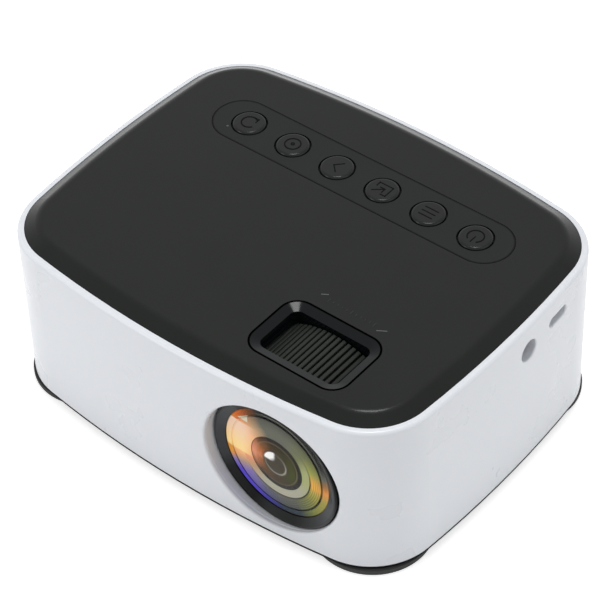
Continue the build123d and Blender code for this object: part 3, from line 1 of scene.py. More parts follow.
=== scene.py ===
# %% [markdown]
# # A palm-size projector
#
# A light grey sleeve holds a dark cover with six round keys, a window over a ribbed
# focus wheel, and a lens behind a glossy ring. The solids come from CAD and stay where
# they are. Blender gives them their finishes and adds what is too fine for the solids:
# the lens's ring and coating, with their reflections painted on, its glass, the liner of
# its hole, rounder key caps with their signs in painted shade, the marks, the black seam
# of painted shade at the window, the wheel's fine ribs, the dark line of painted shade
# under the sleeve and the feet's tapering ends.

import json
import math

import bmesh
import bpy
from mathutils import Matrix, Vector


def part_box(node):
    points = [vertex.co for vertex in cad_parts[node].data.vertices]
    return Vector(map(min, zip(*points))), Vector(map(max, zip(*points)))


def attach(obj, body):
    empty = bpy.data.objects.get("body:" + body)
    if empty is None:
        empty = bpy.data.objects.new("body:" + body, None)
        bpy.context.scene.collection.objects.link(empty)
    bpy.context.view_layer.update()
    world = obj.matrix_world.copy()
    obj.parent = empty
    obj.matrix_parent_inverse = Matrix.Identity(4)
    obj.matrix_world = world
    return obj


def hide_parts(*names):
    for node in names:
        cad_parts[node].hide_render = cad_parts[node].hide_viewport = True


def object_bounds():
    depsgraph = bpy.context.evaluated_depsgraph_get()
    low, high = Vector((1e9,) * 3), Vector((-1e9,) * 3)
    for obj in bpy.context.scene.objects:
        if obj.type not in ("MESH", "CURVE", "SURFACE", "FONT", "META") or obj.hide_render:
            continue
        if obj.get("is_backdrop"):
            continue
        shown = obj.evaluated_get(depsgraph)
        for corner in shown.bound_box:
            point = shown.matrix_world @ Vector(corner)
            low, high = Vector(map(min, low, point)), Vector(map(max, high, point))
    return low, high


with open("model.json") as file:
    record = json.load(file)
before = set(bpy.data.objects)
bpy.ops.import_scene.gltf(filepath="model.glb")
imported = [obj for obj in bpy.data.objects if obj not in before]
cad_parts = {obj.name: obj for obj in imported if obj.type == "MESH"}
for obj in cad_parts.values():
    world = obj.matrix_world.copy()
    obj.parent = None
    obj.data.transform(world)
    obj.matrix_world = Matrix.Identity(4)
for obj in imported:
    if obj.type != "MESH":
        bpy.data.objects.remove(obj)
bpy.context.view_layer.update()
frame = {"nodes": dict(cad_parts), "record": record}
MM = 0.001  # metres in a millimetre

# %% [markdown]
# ## Camera
#
# The photograph was taken from the front right, from well above, with a long lens. A
# camera can be aimed with a Track To constraint, but its matrix says more exactly where
# it looks and how far it is rolled, so the three axes are worked out from the azimuth,
# the elevation and the roll. Depth of field stays off.

# %% Place the camera
AZIMUTH, ELEVATION, ROLL = (math.radians(angle) for angle in (40.487, 43.913, -2.201))
CAMERA_PLACE = Vector((306.324, -357.842, 477.665)) * MM
FOCAL_LENGTH = 152.44  # on a sensor 36 mm wide

backward = Vector(
    (
        math.sin(AZIMUTH) * math.cos(ELEVATION),
        -math.cos(AZIMUTH) * math.cos(ELEVATION),
        math.sin(ELEVATION),
    )
)
right = (-backward).cross(Vector((0, 0, 1))).normalized()
right = Matrix.Rotation(ROLL, 3, backward) @ right
upward = backward.cross(right)

camera = bpy.data.objects.new("camera", bpy.data.cameras.new("camera"))
bpy.context.collection.objects.link(camera)
camera.matrix_world = Matrix.Translation(CAMERA_PLACE) @ Matrix(
    (right, upward, backward)
).transposed().to_4x4()
camera.data.lens = FOCAL_LENGTH
camera.data.clip_start, camera.data.clip_end = 0.05, 10
bpy.context.scene.camera = camera
bpy.context.scene.view_settings.view_transform = "Standard"
print("Camera at", [round(value, 3) for value in camera.location])

# %% [markdown]
# ## Shader nodes
#
# A finish is a small tree of nodes. Every tree here starts in the same way: Object
# coordinates, which stay with the piece when it moves, go through a Mapping node that can
# centre, turn or stretch a pattern. `add_node` makes one node and `feed` fills its
# sockets, with values or with links. The other helpers make the few nodes that most
# recipes need, so that the recipes below stay short.

# %% Helpers for finishes
finishes = {}  # every finish by its name


def feed(tree, node, sockets):
    """Fills a node's sockets, each with a value or with a link."""
    for name, value in sockets.items():
        if isinstance(value, bpy.types.NodeSocket):
            tree.links.new(value, node.inputs[name])
        else:
            node.inputs[name].default_value = value


def add_node(tree, kind, sockets=None, **settings):
    made = tree.nodes.new("ShaderNode" + kind)
    for name, value in settings.items():
        setattr(made, name, value)
    feed(tree, made, sockets or {})
    return made


def calculate(tree, operation, first, second=0.0):
    return add_node(tree, "Math", {0: first, 1: second}, operation=operation).outputs[0]


def vectors(tree, operation, first, second=(0, 0, 0)):
    made = add_node(tree, "VectorMath", {0: first, 1: second}, operation=operation)
    return made.outputs["Value" if operation == "LENGTH" else "Vector"]


def remap(tree, value, start=0.0, stop=1.0, low=0.0, high=1.0, **settings):
    """Turns the range from start to stop into the range from low to high."""
    ends = {"Value": value, "From Min": start, "From Max": stop, "To Min": low, "To Max": high}
    return add_node(tree, "MapRange", ends, **settings).outputs["Result"]


def mixed(tree, share, first, second):
    sockets = {"Fac": share, "Color1": first, "Color2": second}
    return add_node(tree, "MixRGB", sockets).outputs["Color"]


def noise(tree, place, size, detail=2.0):
    """Cloudy marks, the broadest of them about as wide as the size in mm."""
    sockets = {"Vector": place, "Scale": 1 / (size * MM), "Detail": detail}
    return add_node(tree, "TexNoise", sockets).outputs["Fac"]


def bump(tree, depth, height):
    """A bump whose depth, in mm, goes with a height from 0 to 1."""
    return add_node(tree, "Bump", {"Distance": depth * MM, "Height": height}).outputs["Normal"]


def paint(red, green, blue):
    """A colour as screens show it, 0 to 255, as the linear values that shaders use."""

    def straight(value):
        value /= 255
        return value / 12.92 if value <= 0.04045 else ((value + 0.055) / 1.055) ** 2.4

    return (straight(red), straight(green), straight(blue), 1)


def shade(colour, share):
    return (*(value * share for value in colour[:3]), 1)


def ramp(tree, value, stops, interpolation="LINEAR"):
    """A colour ramp from stops of place and colour."""
    made = add_node(tree, "ValToRGB", {"Fac": value})
    made.color_ramp.interpolation = interpolation
    elements = made.color_ramp.elements
    elements.remove(elements[1])
    elements[0].position, elements[0].color = stops[0]
    for place, colour in stops[1:]:
        elements.new(place).color = colour
    return made.outputs["Color"]


def mapped(tree, centre=(0, 0, 0), stretch=(1, 1, 1)):
    """Object coordinates about a centre, stretched along each axis."""
    sockets = {
        "Vector": add_node(tree, "TexCoord").outputs["Object"],
        "Location": [-c * s for c, s in zip(centre, stretch)],
        "Scale": stretch,
    }
    return add_node(tree, "Mapping", sockets).outputs["Vector"]


def begin_finish(name, centre=(0, 0, 0), stretch=(1, 1, 1)):
    """A new finish: its tree, its shader and the place that patterns are read from."""
    finishes[name] = bpy.data.materials.new(name)
    finishes[name].use_nodes = True
    tree = finishes[name].node_tree
    return tree, tree.nodes["Principled BSDF"], mapped(tree, centre, stretch)


print("A mid grey of 128 is", round(paint(128, 128, 128)[0], 3), "in a shader")

# %% [markdown]
# ## Moulded plastic and rubber
#
# A moulded case isn't one flat colour. The mould's fine spark texture shows as a grain,
# the flow of the plastic as a faint mottle, and handling as broad changes of gloss. Two
# noises do all three: a broad one for colour and gloss, and a fine one for the bump. The
# same recipe with other numbers gives the sleeve, the cover, the keys and the rubber.

# %% Moulded finishes
BROAD_SIZE = 14  # of the mottle, in mm
WEAR = 0.04  # how far handling moves the roughness either way


def moulded(name, shown, roughness, grain=0.25, depth=0.004, mottle=0.05, gloss=0.5, sheer=0):
    """Plastic or rubber: grain is the size of the mould's texture in mm, depth its height.

    Sheer is the share of a thin clear skin, which shows at flat angles alone.
    """
    tree, shader, place = begin_finish(name)
    colour = paint(*shown)
    broad = noise(tree, place, BROAD_SIZE, 3.0)
    stops = [(0.3, shade(colour, 1 - mottle)), (0.7, shade(colour, 1 + mottle))]
    sockets = {
        "Base Color": ramp(tree, broad, stops),
        "Roughness": remap(tree, broad, 0.3, 0.7, roughness - WEAR, roughness + WEAR),
        "Normal": bump(tree, depth, noise(tree, place, grain)),
        "Specular IOR Level": gloss,
        "Coat Weight": sheer,
        "Coat Roughness": 0.12,
        "Coat IOR": 1.17,
    }
    feed(tree, shader, sockets)


moulded("sleeve_plastic", (225, 228, 233), 0.3, mottle=0.01, depth=0.0001)
moulded("cover_plastic", (20, 23, 21), 0.4, gloss=0.1, sheer=1)
moulded("panel_plastic", (29, 32, 31), 0.36, gloss=0.14)
moulded("bezel_plastic", (8, 12, 14), 0.16, gloss=0.15, depth=0.0)
# Black for the painted shade in the window's seam.
moulded("seam_painted_shade", (2, 2, 2), 0.8, gloss=0.0)
moulded("key_plastic", (25, 28, 26), 0.24, gloss=0.2, depth=0.002)
# Near black for painted shade: the signs on the keys, the grooves of the grip and the line under the
# sleeve.
moulded("painted_shade_dark", (10, 11, 10), 0.6, gloss=0.05)
moulded("mark_print", (100, 102, 100), 0.5, gloss=0.1)
moulded("tick_print", (52, 55, 53), 0.5, mottle=0.2, gloss=0.1)
moulded("wheel_rubber", (38, 41, 38), 0.5, grain=0.4, depth=0.01, gloss=0.16)
moulded("foot_rubber", (74, 75, 74), 0.75, grain=0.5, depth=0.015, gloss=0.1)
moulded("lens_plastic", (24, 25, 26), 0.12, depth=0.0005, gloss=0.3)
moulded("barrel_plastic", (24, 24, 24), 0.6, gloss=0.3)
moulded("engine_plastic", (42, 42, 44), 0.55)
moulded("fan_plastic", (26, 26, 27), 0.4)
moulded("chip_plastic", (34, 35, 37), 0.5, mottle=0.1)
moulded("speaker_body", (40, 40, 42), 0.6, grain=0.6, depth=0.02)
moulded("flex_film", (176, 112, 40), 0.3, mottle=0.12)
moulded("light_pipe", (76, 80, 78), 0.3, mottle=0.02, gloss=0.2)
moulded("led_core", (226, 222, 210), 0.5, mottle=0.03)
moulded("led_phosphor", (238, 206, 66), 0.45, mottle=0.06)
print("Moulded finishes:", len(finishes))

# %% [markdown]
# ## Metal
#
# Bare metal is all reflection, so what tells steel from brass from aluminium is its
# colour and the lay of its machining marks. A noise stretched along one axis draws fine
# parallel scratches, which move the roughness and a very shallow bump.

# %% Metal finishes
SCRATCH = 0.3  # width of a machining mark, in mm


def brushed(name, shown, roughness, stretch=(1, 1, 0.06), depth=0.003):
    tree, shader, place = begin_finish(name, stretch=stretch)
    colour = paint(*shown)
    marks = noise(tree, place, SCRATCH, 3.0)
    sockets = {
        "Base Color": ramp(tree, marks, [(0.3, shade(colour, 0.9)), (0.7, shade(colour, 1.05))]),
        "Roughness": remap(tree, marks, 0, 1, roughness - 0.1, roughness + 0.1),
        "Normal": bump(tree, depth, marks),
        "Metallic": 1,
    }
    feed(tree, shader, sockets)


brushed("screw_steel", (176, 178, 182), 0.34)
brushed("insert_brass", (206, 170, 96), 0.3)
brushed("pin_steel", (190, 192, 196), 0.22)
brushed("funnel_mirror", (232, 234, 236), 0.16, depth=0.0005)
brushed("sink_aluminium", (186, 190, 196), 0.4, (1, 0.06, 1))
brushed("can_aluminium", (196, 198, 202), 0.32)
brushed("socket_steel", (186, 188, 192), 0.3, (0.06, 1, 1))
print("Finishes with the metals:", len(finishes))

# %% [markdown]
# ## Circuit board
#
# The boards are glass laminate under green lacquer. Copper tracks show through it a
# little lighter. A brick pattern gives long straight tracks, whose joints read as the
# turns of a real layout, and a Voronoi pattern gives the pads.

# %% Board finish
tree, shader, place = begin_finish("board_laminate")
lacquer, track, tin = paint(22, 74, 48), paint(44, 112, 72), paint(190, 194, 188)
tracks = add_node(
    tree,
    "TexBrick",
    {
        "Vector": place,
        "Color1": lacquer,
        "Color2": shade(lacquer, 0.9),
        "Mortar": track,
        "Scale": 1.0,
        "Mortar Size": 0.16 * MM,
        "Brick Width": 5.5 * MM,
        "Row Height": 0.9 * MM,
    },
)
spots = add_node(tree, "TexVoronoi", {"Vector": place, "Scale": 1 / (3.2 * MM)})
pads = ramp(tree, spots.outputs["Distance"], [(0.1, (1, 1, 1, 1)), (0.13, (0, 0, 0, 1))])
sockets = {
    "Base Color": mixed(tree, pads, tracks.outputs["Color"], tin),
    "Normal": bump(tree, 0.02, tracks.outputs["Fac"]),
    "Roughness": 0.35,
}
feed(tree, shader, sockets)
print("Board finish made")

# %% [markdown]
# ## Optical plates and glass
#
# The plates inside the engine are lightly frosted sheets. The lens elements are clear,
# with a coating that takes away most of the reflection and leaves a faint colour. Real
# refraction needs many samples and says little at this size, so the glass is a thin clear
# film: a low alpha lets the inside show, and the shader's own gloss gives the reflection.

# %% Glass finishes
BLOOM = 6  # width of the clouds in the coating, in mm


def glass(name, shown, alpha, roughness=0.03):
    tree, shader, place = begin_finish(name)
    colour = paint(*shown)
    stops = [(0.3, shade(colour, 0.9)), (0.7, shade(colour, 1.1))]
    colours = ramp(tree, noise(tree, place, BLOOM), stops)
    feed(tree, shader, {"Base Color": colours, "Roughness": roughness, "Alpha": alpha})


glass("lens_glass", (30, 32, 36), 0.05)
glass("optic_plate", (200, 214, 224), 0.45, 0.12)
glass("display_glass", (38, 42, 56), 0.9, 0.08)
print("Finishes with the glass:", len(finishes))

# %% [markdown]
# ## Finishes on the CAD nodes
#
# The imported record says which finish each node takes, so one loop dresses them all. The
# frame of the focus window shares the key panel's slot but is a deeper black, so it gets
# a finish of its own.

# %% Dress the CAD nodes
slot_of = {part["node"]: part["material_slot"] for part in frame["record"]["subparts"]}
for node, slot in slot_of.items():
    cad_object = frame["nodes"][node]
    cad_object.material_slots[0].material = finishes[slot]
frame["nodes"]["focus_bezel"].material_slots[0].material = finishes["bezel_plastic"]
print("Dressed nodes:", len(slot_of))

# %% [markdown]
# ## Painted shade in the seams
#
# The key panel and the window's frame lie flush in the cover, and the light doesn't reach
# into the seam round them. The seam could be cut wider, but the real one shows only as a
# dark line, so its shade is painted: the outermost strip of each piece is painted black.
# The strip follows the outline of a rectangle with round corners: a point's distance from
# the inner rectangle of the corner centres says how near to the outline it lies.

# %% Darken the seams
WINDOW_CORNER, PANEL_CORNER = 5.0, 7.75  # in mm


def paint_seam_shade(finish, node, corner, start, stop):
    """Paints shade into a strip along a node's outline, in black. Corner, start and stop are in mm.
    """
    low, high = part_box(node)
    half = (high - low) / 2
    tree = finishes[finish].node_tree
    folded = vectors(tree, "ABSOLUTE", mapped(tree, (low + high) / 2, (1, 1, 0)))
    beyond = vectors(tree, "SUBTRACT", folded, (half.x - corner * MM, half.y - corner * MM, 0))
    length = vectors(tree, "LENGTH", vectors(tree, "MAXIMUM", beyond))
    strip = remap(tree, length, (corner - start) * MM, (corner - stop) * MM)
    socket = tree.nodes["Principled BSDF"].inputs["Base Color"]
    tree.links.new(mixed(tree, strip, socket.links[0].from_socket, paint(2, 2, 2)), socket)


# Painted shade: black strips along the frame's and the panel's outlines.
paint_seam_shade("bezel_plastic", "focus_bezel", WINDOW_CORNER, 0.55, 0.4)
paint_seam_shade("panel_plastic", "key_panel", PANEL_CORNER, 0.42, 0.3)
print("Seams darkened: 2")

# %% [markdown]
# ## Spun lens parts
#
# Rings and lenses are turned parts, so they are made as a lathe makes them: a profile is
# drawn in a plane through the lens axis, its corners are rounded with a vertex bevel, and
# it is spun round the axis. A cylinder with loop cuts would do too, but a profile keeps
# every radius as one number.

# %% Helpers for spun parts
ring_low, ring_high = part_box("trim_ring")
LENS_CENTRE = Vector(((ring_low.x + ring_high.x) / 2, 0, (ring_low.z + ring_high.z) / 2))
LENS_FRONT = -ring_low.y  # how far forward the trim ring reaches
SPIN_STEPS = 144


def section_point(radius, forward):
    return Vector((LENS_CENTRE.x + radius, -forward, LENS_CENTRE.z))


def new_piece(name, shape, body, slot, *nodes, finish=None, crease=None):
    """Turns a bmesh into a finished piece that rides on a body and stands for its nodes.

    With a crease it is smooth, but where faces meet at more than this many degrees.
    """
    bmesh.ops.recalc_face_normals(shape, faces=shape.faces)
    mesh = bpy.data.meshes.new(name)
    shape.to_mesh(mesh)
    shape.free()
    mesh.materials.append(finishes[finish or slot])
    piece = bpy.data.objects.new(name, mesh)
    bpy.context.collection.objects.link(piece)
    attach(piece, body)
    if nodes:
        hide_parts(*nodes)
    if crease:
        for face in mesh.polygons:
            face.use_smooth = True
        mesh.set_sharp_from_angle(angle=math.radians(crease))
        piece.modifiers.new("even_shading", "WEIGHTED_NORMAL").keep_sharp = True
    print(name, "has", len(mesh.polygons), "faces")


def rounded(shape, items, size, segments=6, affect="VERTICES"):
    """Rounds corners of a flat section, or edges of a solid. The size is in metres."""
    bmesh.ops.bevel(
        shape,
        geom=list(items),
        offset=size,
        affect=affect,
        segments=segments,
        profile=0.5,
        material=-1,
    )


def whole(shape):
    return list(shape.verts) + list(shape.edges) + list(shape.faces)


def spin(shape, centre, axis, angle, steps, **settings):
    """Spins all of a shape about an axis."""
    bmesh.ops.spin(
        shape, geom=whole(shape), cent=centre, axis=axis, angle=angle, steps=steps, **settings
    )


def spin_round(shape, centre=LENS_CENTRE, axis=(0, 1, 0), steps=SPIN_STEPS):
    """Spins a section's outline right round an axis and closes it."""
    bmesh.ops.delete(shape, geom=list(shape.faces), context="FACES_ONLY")
    spin(shape, centre, axis, 2 * math.pi, steps, use_merge=True)
    bmesh.ops.remove_doubles(shape, verts=shape.verts, dist=0.001 * MM)
    bmesh.ops.recalc_face_normals(shape, faces=shape.faces)
    return shape


def draw_profile(points, sizes=()):
    """A closed flat profile from points of radius and forward distance, in metres.

    Sizes are pairs: a corner's number and how far it is rounded, in mm.
    """
    shape = bmesh.new()
    corners = [shape.verts.new(section_point(*point)) for point in points]
    shape.faces.new(corners)
    for number, size in sizes:
        rounded(shape, [corners[number]], size * MM)
    return shape


print("Lens axis at x", round(LENS_CENTRE.x / MM, 2), "z", round(LENS_CENTRE.z / MM, 2))

# %% [markdown]
# ## Colours round the lens axis
#
# Everything on the lens changes colour round its axis and along its radius. Two polar
# coordinates, the turn and the radius, are worked out once, and colour ramps and soft
# edges read them. A texture could be wrapped round the rings instead, but a ramp keeps
# each colour as a named value and stays sharp at any size.

# %% Polar coordinates and soft edges
LENS_REACH = 20 * MM


def polar(name):
    """A finish with the radius (0 to 1 at LENS_REACH), the turn (0 to 1), and x and z."""
    tree, shader, place = begin_finish(name, LENS_CENTRE, (1, 0, 1))
    radius = calculate(tree, "DIVIDE", vectors(tree, "LENGTH", place), LENS_REACH)
    parts = add_node(tree, "SeparateXYZ", {"Vector": place}).outputs
    angle = calculate(tree, "ARCTAN2", parts["Z"], parts["X"])
    turn = remap(tree, angle, -math.pi, math.pi)
    return tree, shader, radius, turn, parts["X"], parts["Z"]


def round_ramp(tree, turn, *stops):
    """A ramp round the axis, from stops of angle and colour, closed at the left."""
    return ramp(tree, turn, [((angle + 180) / 360, colour) for angle, colour in stops])


def round_levels(tree, turn, *stops):
    """A ramp round the axis, from stops of angle and a grey level."""
    return round_ramp(tree, turn, *[(angle, (level, level, level, 1)) for angle, level in stops])


def from_radius(tree, radius, *stops):
    """A ramp along the radius, from stops of radius in mm and a grey level."""
    return ramp(
        tree,
        radius,
        [(mm * MM / LENS_REACH, (level, level, level, 1)) for mm, level in stops],
    )


def edge(tree, value, start, stop):
    """0 up to the start and 1 from the stop on, soft between them, both in mm."""
    return remap(tree, value, start * MM, stop * MM, interpolation_type="SMOOTHSTEP")


def all_of(tree, first, *others):
    """The product of several shares, which is 1 only where every one of them is."""
    for other in others:
        first = calculate(tree, "MULTIPLY", first, other)
    return first


NIGHT, COAL, IRON, LEAD = paint(8, 9, 8), paint(22, 24, 23), paint(40, 42, 42), paint(58, 60, 63)
print("Colours are read out to a radius of", LENS_REACH / MM, "mm")

# %% [markdown]
# ## Trim ring
#
# The glossy ring round the glass is dark, and it mirrors the room in broad soft bands,
# grey at the sides and black at the lower left. Its gloss is weak, so the bands are painted
# into the colour as a painted reflection. Its edges have the small round that polishing
# leaves, and its outer edge is painted black, fainter at the left, as painted shade, which
# draws a thin line between the ring and the sleeve.

# %% Finish of the trim ring
tree, shader, radius, turn = polar("ring_painted_reflection")[:4]
# Painted reflection: the room's bands round the axis, laid into the colour.
painted_reflection_bands = round_ramp(
    tree, turn,
    (-180, LEAD), (-160, LEAD), (-145, COAL), (-115, NIGHT), (-98, IRON), (-72, COAL), (-55, IRON),
    (-25, LEAD), (12, LEAD), (35, IRON), (90, COAL), (125, COAL), (155, LEAD), (180, LEAD),
)
# Painted shade: the ring's outer edge is painted black, fainter at the left.
outer_shade_line = all_of(
    tree,
    from_radius(tree, radius, (18.5, 0), (18.7, 1)),
    round_levels(tree, turn, (-180, 0.3), (-120, 0.8), (60, 1), (130, 1), (180, 0.3)),
)
ring_colours = mixed(tree, outer_shade_line, painted_reflection_bands, NIGHT)
feed(tree, shader, {"Base Color": ring_colours, "Roughness": 0.18, "Specular IOR Level": 0.1})
print("Ring finish made")

# %% Trim ring
RING_OUTER, RING_SIGHT, RING_SEAT = 18.85 * MM, 15.9 * MM, 16.7 * MM
RING_FACE, RING_SLOPE, RING_LIP = 0.9 * MM, 1.0 * MM, 0.2 * MM
ring_back = -ring_high.y

shape = draw_profile(
    [
        (RING_OUTER, ring_back),
        (RING_OUTER, LENS_FRONT),
        (RING_OUTER - RING_FACE, LENS_FRONT),
        (RING_SIGHT, LENS_FRONT - RING_SLOPE),
        (RING_SIGHT, LENS_FRONT - RING_SLOPE - RING_LIP),
        (RING_SEAT, LENS_FRONT - RING_SLOPE - RING_LIP),
        (RING_SEAT, ring_back),
    ],
    [(1, 0.5), (2, 0.25), (3, 0.08)],
)
new_piece(
    "lens_trim_ring",
    spin_round(shape),
    "barrel",
    "lens_plastic",
    "trim_ring",
    finish="ring_painted_reflection",
    crease=50,
)

# %% [markdown]
# ## Liner of the lens hole
#
# The sleeve's wall is thin, and the hole in it goes on as a short collar of the same
# plastic, which shows as a pale crescent beside the ring. It is a tube, spun from a flat
# profile. The wall is bowed, so the tube's front is cut off at a slant within the wall's
# thickness, and the open end is closed with a bridge between its two loops.

# %% Lens hole liner
LINER_BORE, LINER_WALL = 19.12 * MM, 0.5 * MM
SLANT_LEFT = (LENS_CENTRE.x - LINER_BORE, 49.2 * MM)  # place across and how far forward
SLANT_RIGHT = (LENS_CENTRE.x + LINER_BORE, 45.8 * MM)
liner_back, liner_front = LENS_FRONT - 2.4 * MM, LENS_FRONT + 2.8 * MM
shape = draw_profile(
    [
        (LINER_BORE, liner_back),
        (LINER_BORE, liner_front),
        (LINER_BORE + LINER_WALL, liner_front),
        (LINER_BORE + LINER_WALL, liner_back),
    ]
)
spin_round(shape)
along = Vector((SLANT_RIGHT[0] - SLANT_LEFT[0], SLANT_LEFT[1] - SLANT_RIGHT[1], 0))
bmesh.ops.bisect_plane(
    shape,
    geom=whole(shape),
    plane_co=(SLANT_LEFT[0], -SLANT_LEFT[1], 0),
    plane_no=(along.y, -along.x, 0),
    clear_outer=True,
)
bmesh.ops.bridge_loops(shape, edges=[line for line in shape.edges if line.is_boundary])
new_piece("lens_hole_liner", shape, "case", "sleeve_plastic", crease=34)

# %% [markdown]
# ## Colours of the lens coatings
#
# Thin layers on the glass turn white light into reflections in bands of amber, gold, olive,
# slate, violet and rose that run round the axis. They could come from a thin-film shader,
# but its colours change with the lamps, so the reflections are painted into the colour
# instead. One ramp round the axis colours each zone: the polished rim, the fine steps
# inside it and the smooth ring inside these. The zones are blended along the radius, and
# the dark grooves between them, in painted shade, are drawn last. A share of the painted
# colour is also given off as light, a painted glow, though the coating is no lamp.

# %% Colours of the three zones
# How much of the painted reflection colour is given off as painted light.
PAINTED_GLOW = 0.3
tree, shader, radius, turn, across, height = polar("painted_coating_reflection")
CREAM, PEACH, ROSE = paint(252, 214, 162), paint(246, 184, 132), paint(232, 152, 116)
AMBER, RUST, GOLD = paint(222, 152, 66), paint(206, 98, 28), paint(228, 178, 82)
OLIVE, STONE, SLATE = paint(114, 119, 84), paint(100, 101, 90), paint(100, 101, 106)
VIOLET, LILAC = paint(88, 74, 196), paint(134, 120, 172)
BEIGE, SAGE, TAN = paint(170, 168, 150), paint(164, 168, 116), paint(182, 150, 116)
TEAL, SOOT = paint(56, 66, 74), paint(30, 30, 28)

rim = round_ramp(
    tree,
    turn,
    (-180, CREAM),
    (-173, AMBER),
    (-160, AMBER),
    (-152, LILAC),
    (-140, VIOLET),
    (-118, VIOLET),
    (-100, paint(70, 68, 150)),
    (-82, TEAL),
    (-62, TEAL),
    (-42, paint(118, 124, 62)),
    (-18, paint(160, 150, 74)),
    (-4, paint(222, 148, 78)),
    (5, paint(160, 112, 62)),
    (13, STONE),
    (26, SOOT),
    (112, SOOT),
    (126, paint(120, 66, 24)),
    (142, RUST),
    (158, AMBER),
    (170, CREAM),
    (180, CREAM),
)
steps = round_ramp(
    tree,
    turn,
    (-180, CREAM),
    (-164, PEACH),
    (-150, TAN),
    (-136, LILAC),
    (-108, SLATE),
    (-62, STONE),
    (-36, paint(128, 132, 78)),
    (-18, paint(170, 162, 76)),
    (-6, GOLD),
    (4, GOLD),
    (18, paint(160, 164, 80)),
    (42, OLIVE),
    (75, STONE),
    (112, STONE),
    (128, TAN),
    (146, PEACH),
    (164, CREAM),
    (180, CREAM),
)
smooth = round_ramp(
    tree,
    turn,
    (-180, PEACH),
    (-164, ROSE),
    (-142, TAN),
    (-112, BEIGE),
    (-40, BEIGE),
    (-8, SAGE),
    (14, SAGE),
    (40, OLIVE),
    (70, STONE),
    (108, STONE),
    (126, TAN),
    (150, PEACH),
    (180, PEACH),
)
steps_to_rim = mixed(
    tree, from_radius(tree, radius, (10.6, 0), (13.7, 0.45), (14.1, 1)), steps, rim
)
zones = mixed(
    tree, from_radius(tree, radius, (10.15, 0), (10.45, 1)), smooth, steps_to_rim
)
print("Coating colours laid out")

# %% [markdown]
# ## The painted window reflection on the left
#
# A window's reflection in the coating is painted as a cream patch with straight edges,
# which cut across the rings, and a small three-cornered piece of it stands above. Soft
# edges along the height, across and along a slope are multiplied to give each piece its
# outline.

# %% Window patch
slope = calculate(tree, "SUBTRACT", height, calculate(tree, "MULTIPLY", across, 0.73))
# Painted reflection of a window: the patch and its three-cornered piece.
patch = all_of(
    tree,
    edge(tree, height, -3.1, -2.2),
    edge(tree, height, 7.8, 7.4),
    edge(tree, across, -5.5, -11.0),
)
window_reflection_corner = all_of(
    tree,
    edge(tree, height, 8.6, 8.8),
    edge(tree, across, -8.4, -8.6),
    edge(tree, slope, 17.4, 17.1),
)
window_reflection_colour = mixed(tree, edge(tree, height, -2.0, 7.0), paint(255, 218, 150), paint(240, 206, 180))
patched = mixed(tree, patch, zones, window_reflection_colour)
patched = mixed(tree, window_reflection_corner, patched, paint(214, 204, 178))
print("Window patch laid out")

# %% [markdown]
# ## Grooves and steps
#
# A deep groove parts the rim from the steps, a fine one parts the steps from the smooth
# ring, and the steps themselves are too fine to see. Their shade is painted: both grooves
# are painted dark, and the steps show only as painted stripes of shade. All of them fade
# where the painted window reflection lies over them. A light line of painted highlight
# runs along the rim at the upper right, and a dark brown line of painted shade runs round
# the outer edge, under the ring's lip, strongest at the top.

# %% Grooves and steps
# Painted shade in the deep groove, then the fine groove and the stripes of the steps.
deep_groove_shade = all_of(
    tree,
    from_radius(tree, radius, (13.35, 0), (13.65, 1), (13.95, 1), (14.2, 0)),
    round_levels(
        tree,
        turn,
        (-180, 0.1),
        (-166, 0.3),
        (-150, 0.9),
        (-20, 1),
        (-4, 0.7),
        (12, 0.9),
        (105, 1),
        (122, 0.6),
        (140, 0.1),
        (180, 0.1),
    ),
)
fine_groove_shade = all_of(
    tree,
    from_radius(tree, radius, (10.0, 0), (10.2, 1), (10.4, 1), (10.65, 0)),
    round_levels(tree, turn, (-150, 0), (-125, 0.8), (-5, 1), (25, 0.4), (60, 0.0)),
)
STEP_PITCH = 0.56 * MM
wave = calculate(
    tree, "SINE", calculate(tree, "MULTIPLY", radius, 2 * math.pi * LENS_REACH / STEP_PITCH)
)
step_shade_stripes = all_of(
    tree,
    calculate(tree, "MAXIMUM", wave, 0),
    from_radius(tree, radius, (10.5, 0), (10.9, 0.7), (13.2, 0.7), (13.4, 0)),
    round_levels(tree, turn, (-140, 0), (-90, 0.6), (-45, 1), (-12, 0.7), (30, 0.3), (100, 0)),
)
striped = mixed(tree, step_shade_stripes, patched, NIGHT)
grooved = mixed(tree, fine_groove_shade, striped, paint(34, 34, 26))
grooved = mixed(tree, deep_groove_shade, grooved, paint(10, 10, 11))
# Painted highlight: a light line along the rim at the upper right.
upper_highlight_line = all_of(
    tree,
    from_radius(tree, radius, (14.3, 0), (14.45, 0.6), (14.6, 0.6), (14.75, 0)),
    round_levels(tree, turn, (10, 0), (30, 1), (100, 1), (120, 0)),
)
grooved = mixed(tree, upper_highlight_line, grooved, paint(120, 122, 112))
# Painted shade: a dark brown line round the outer edge, under the ring's lip.
rim_shade_line = from_radius(tree, radius, (15.55, 0), (15.85, 1))
rim_shade_turn = round_levels(
    tree,
    turn,
    (-180, 0.8),
    (-160, 0.4),
    (-150, 0.2),
    (-110, 0.4),
    (-20, 0.8),
    (0, 0.2),
    (20, 1),
    (120, 1),
    (135, 0.4),
    (180, 0.8),
)
finished = mixed(tree, all_of(tree, rim_shade_line, rim_shade_turn), grooved, paint(66, 34, 12))


def paint_reflection(tree, shader, colours, roughness, gloss):
    """Lays the painted reflection colours on a shader, which also gives off a share of them as
    painted light.
    """
    feed(tree, shader, {"Base Color": colours, "Emission Color": colours})
    feed(tree, shader, {"Roughness": roughness, "Specular IOR Level": gloss})
    feed(tree, shader, {"Emission Strength": PAINTED_GLOW})


paint_reflection(tree, shader, finished, 0.4, 0.06)
print("Coated rings made")

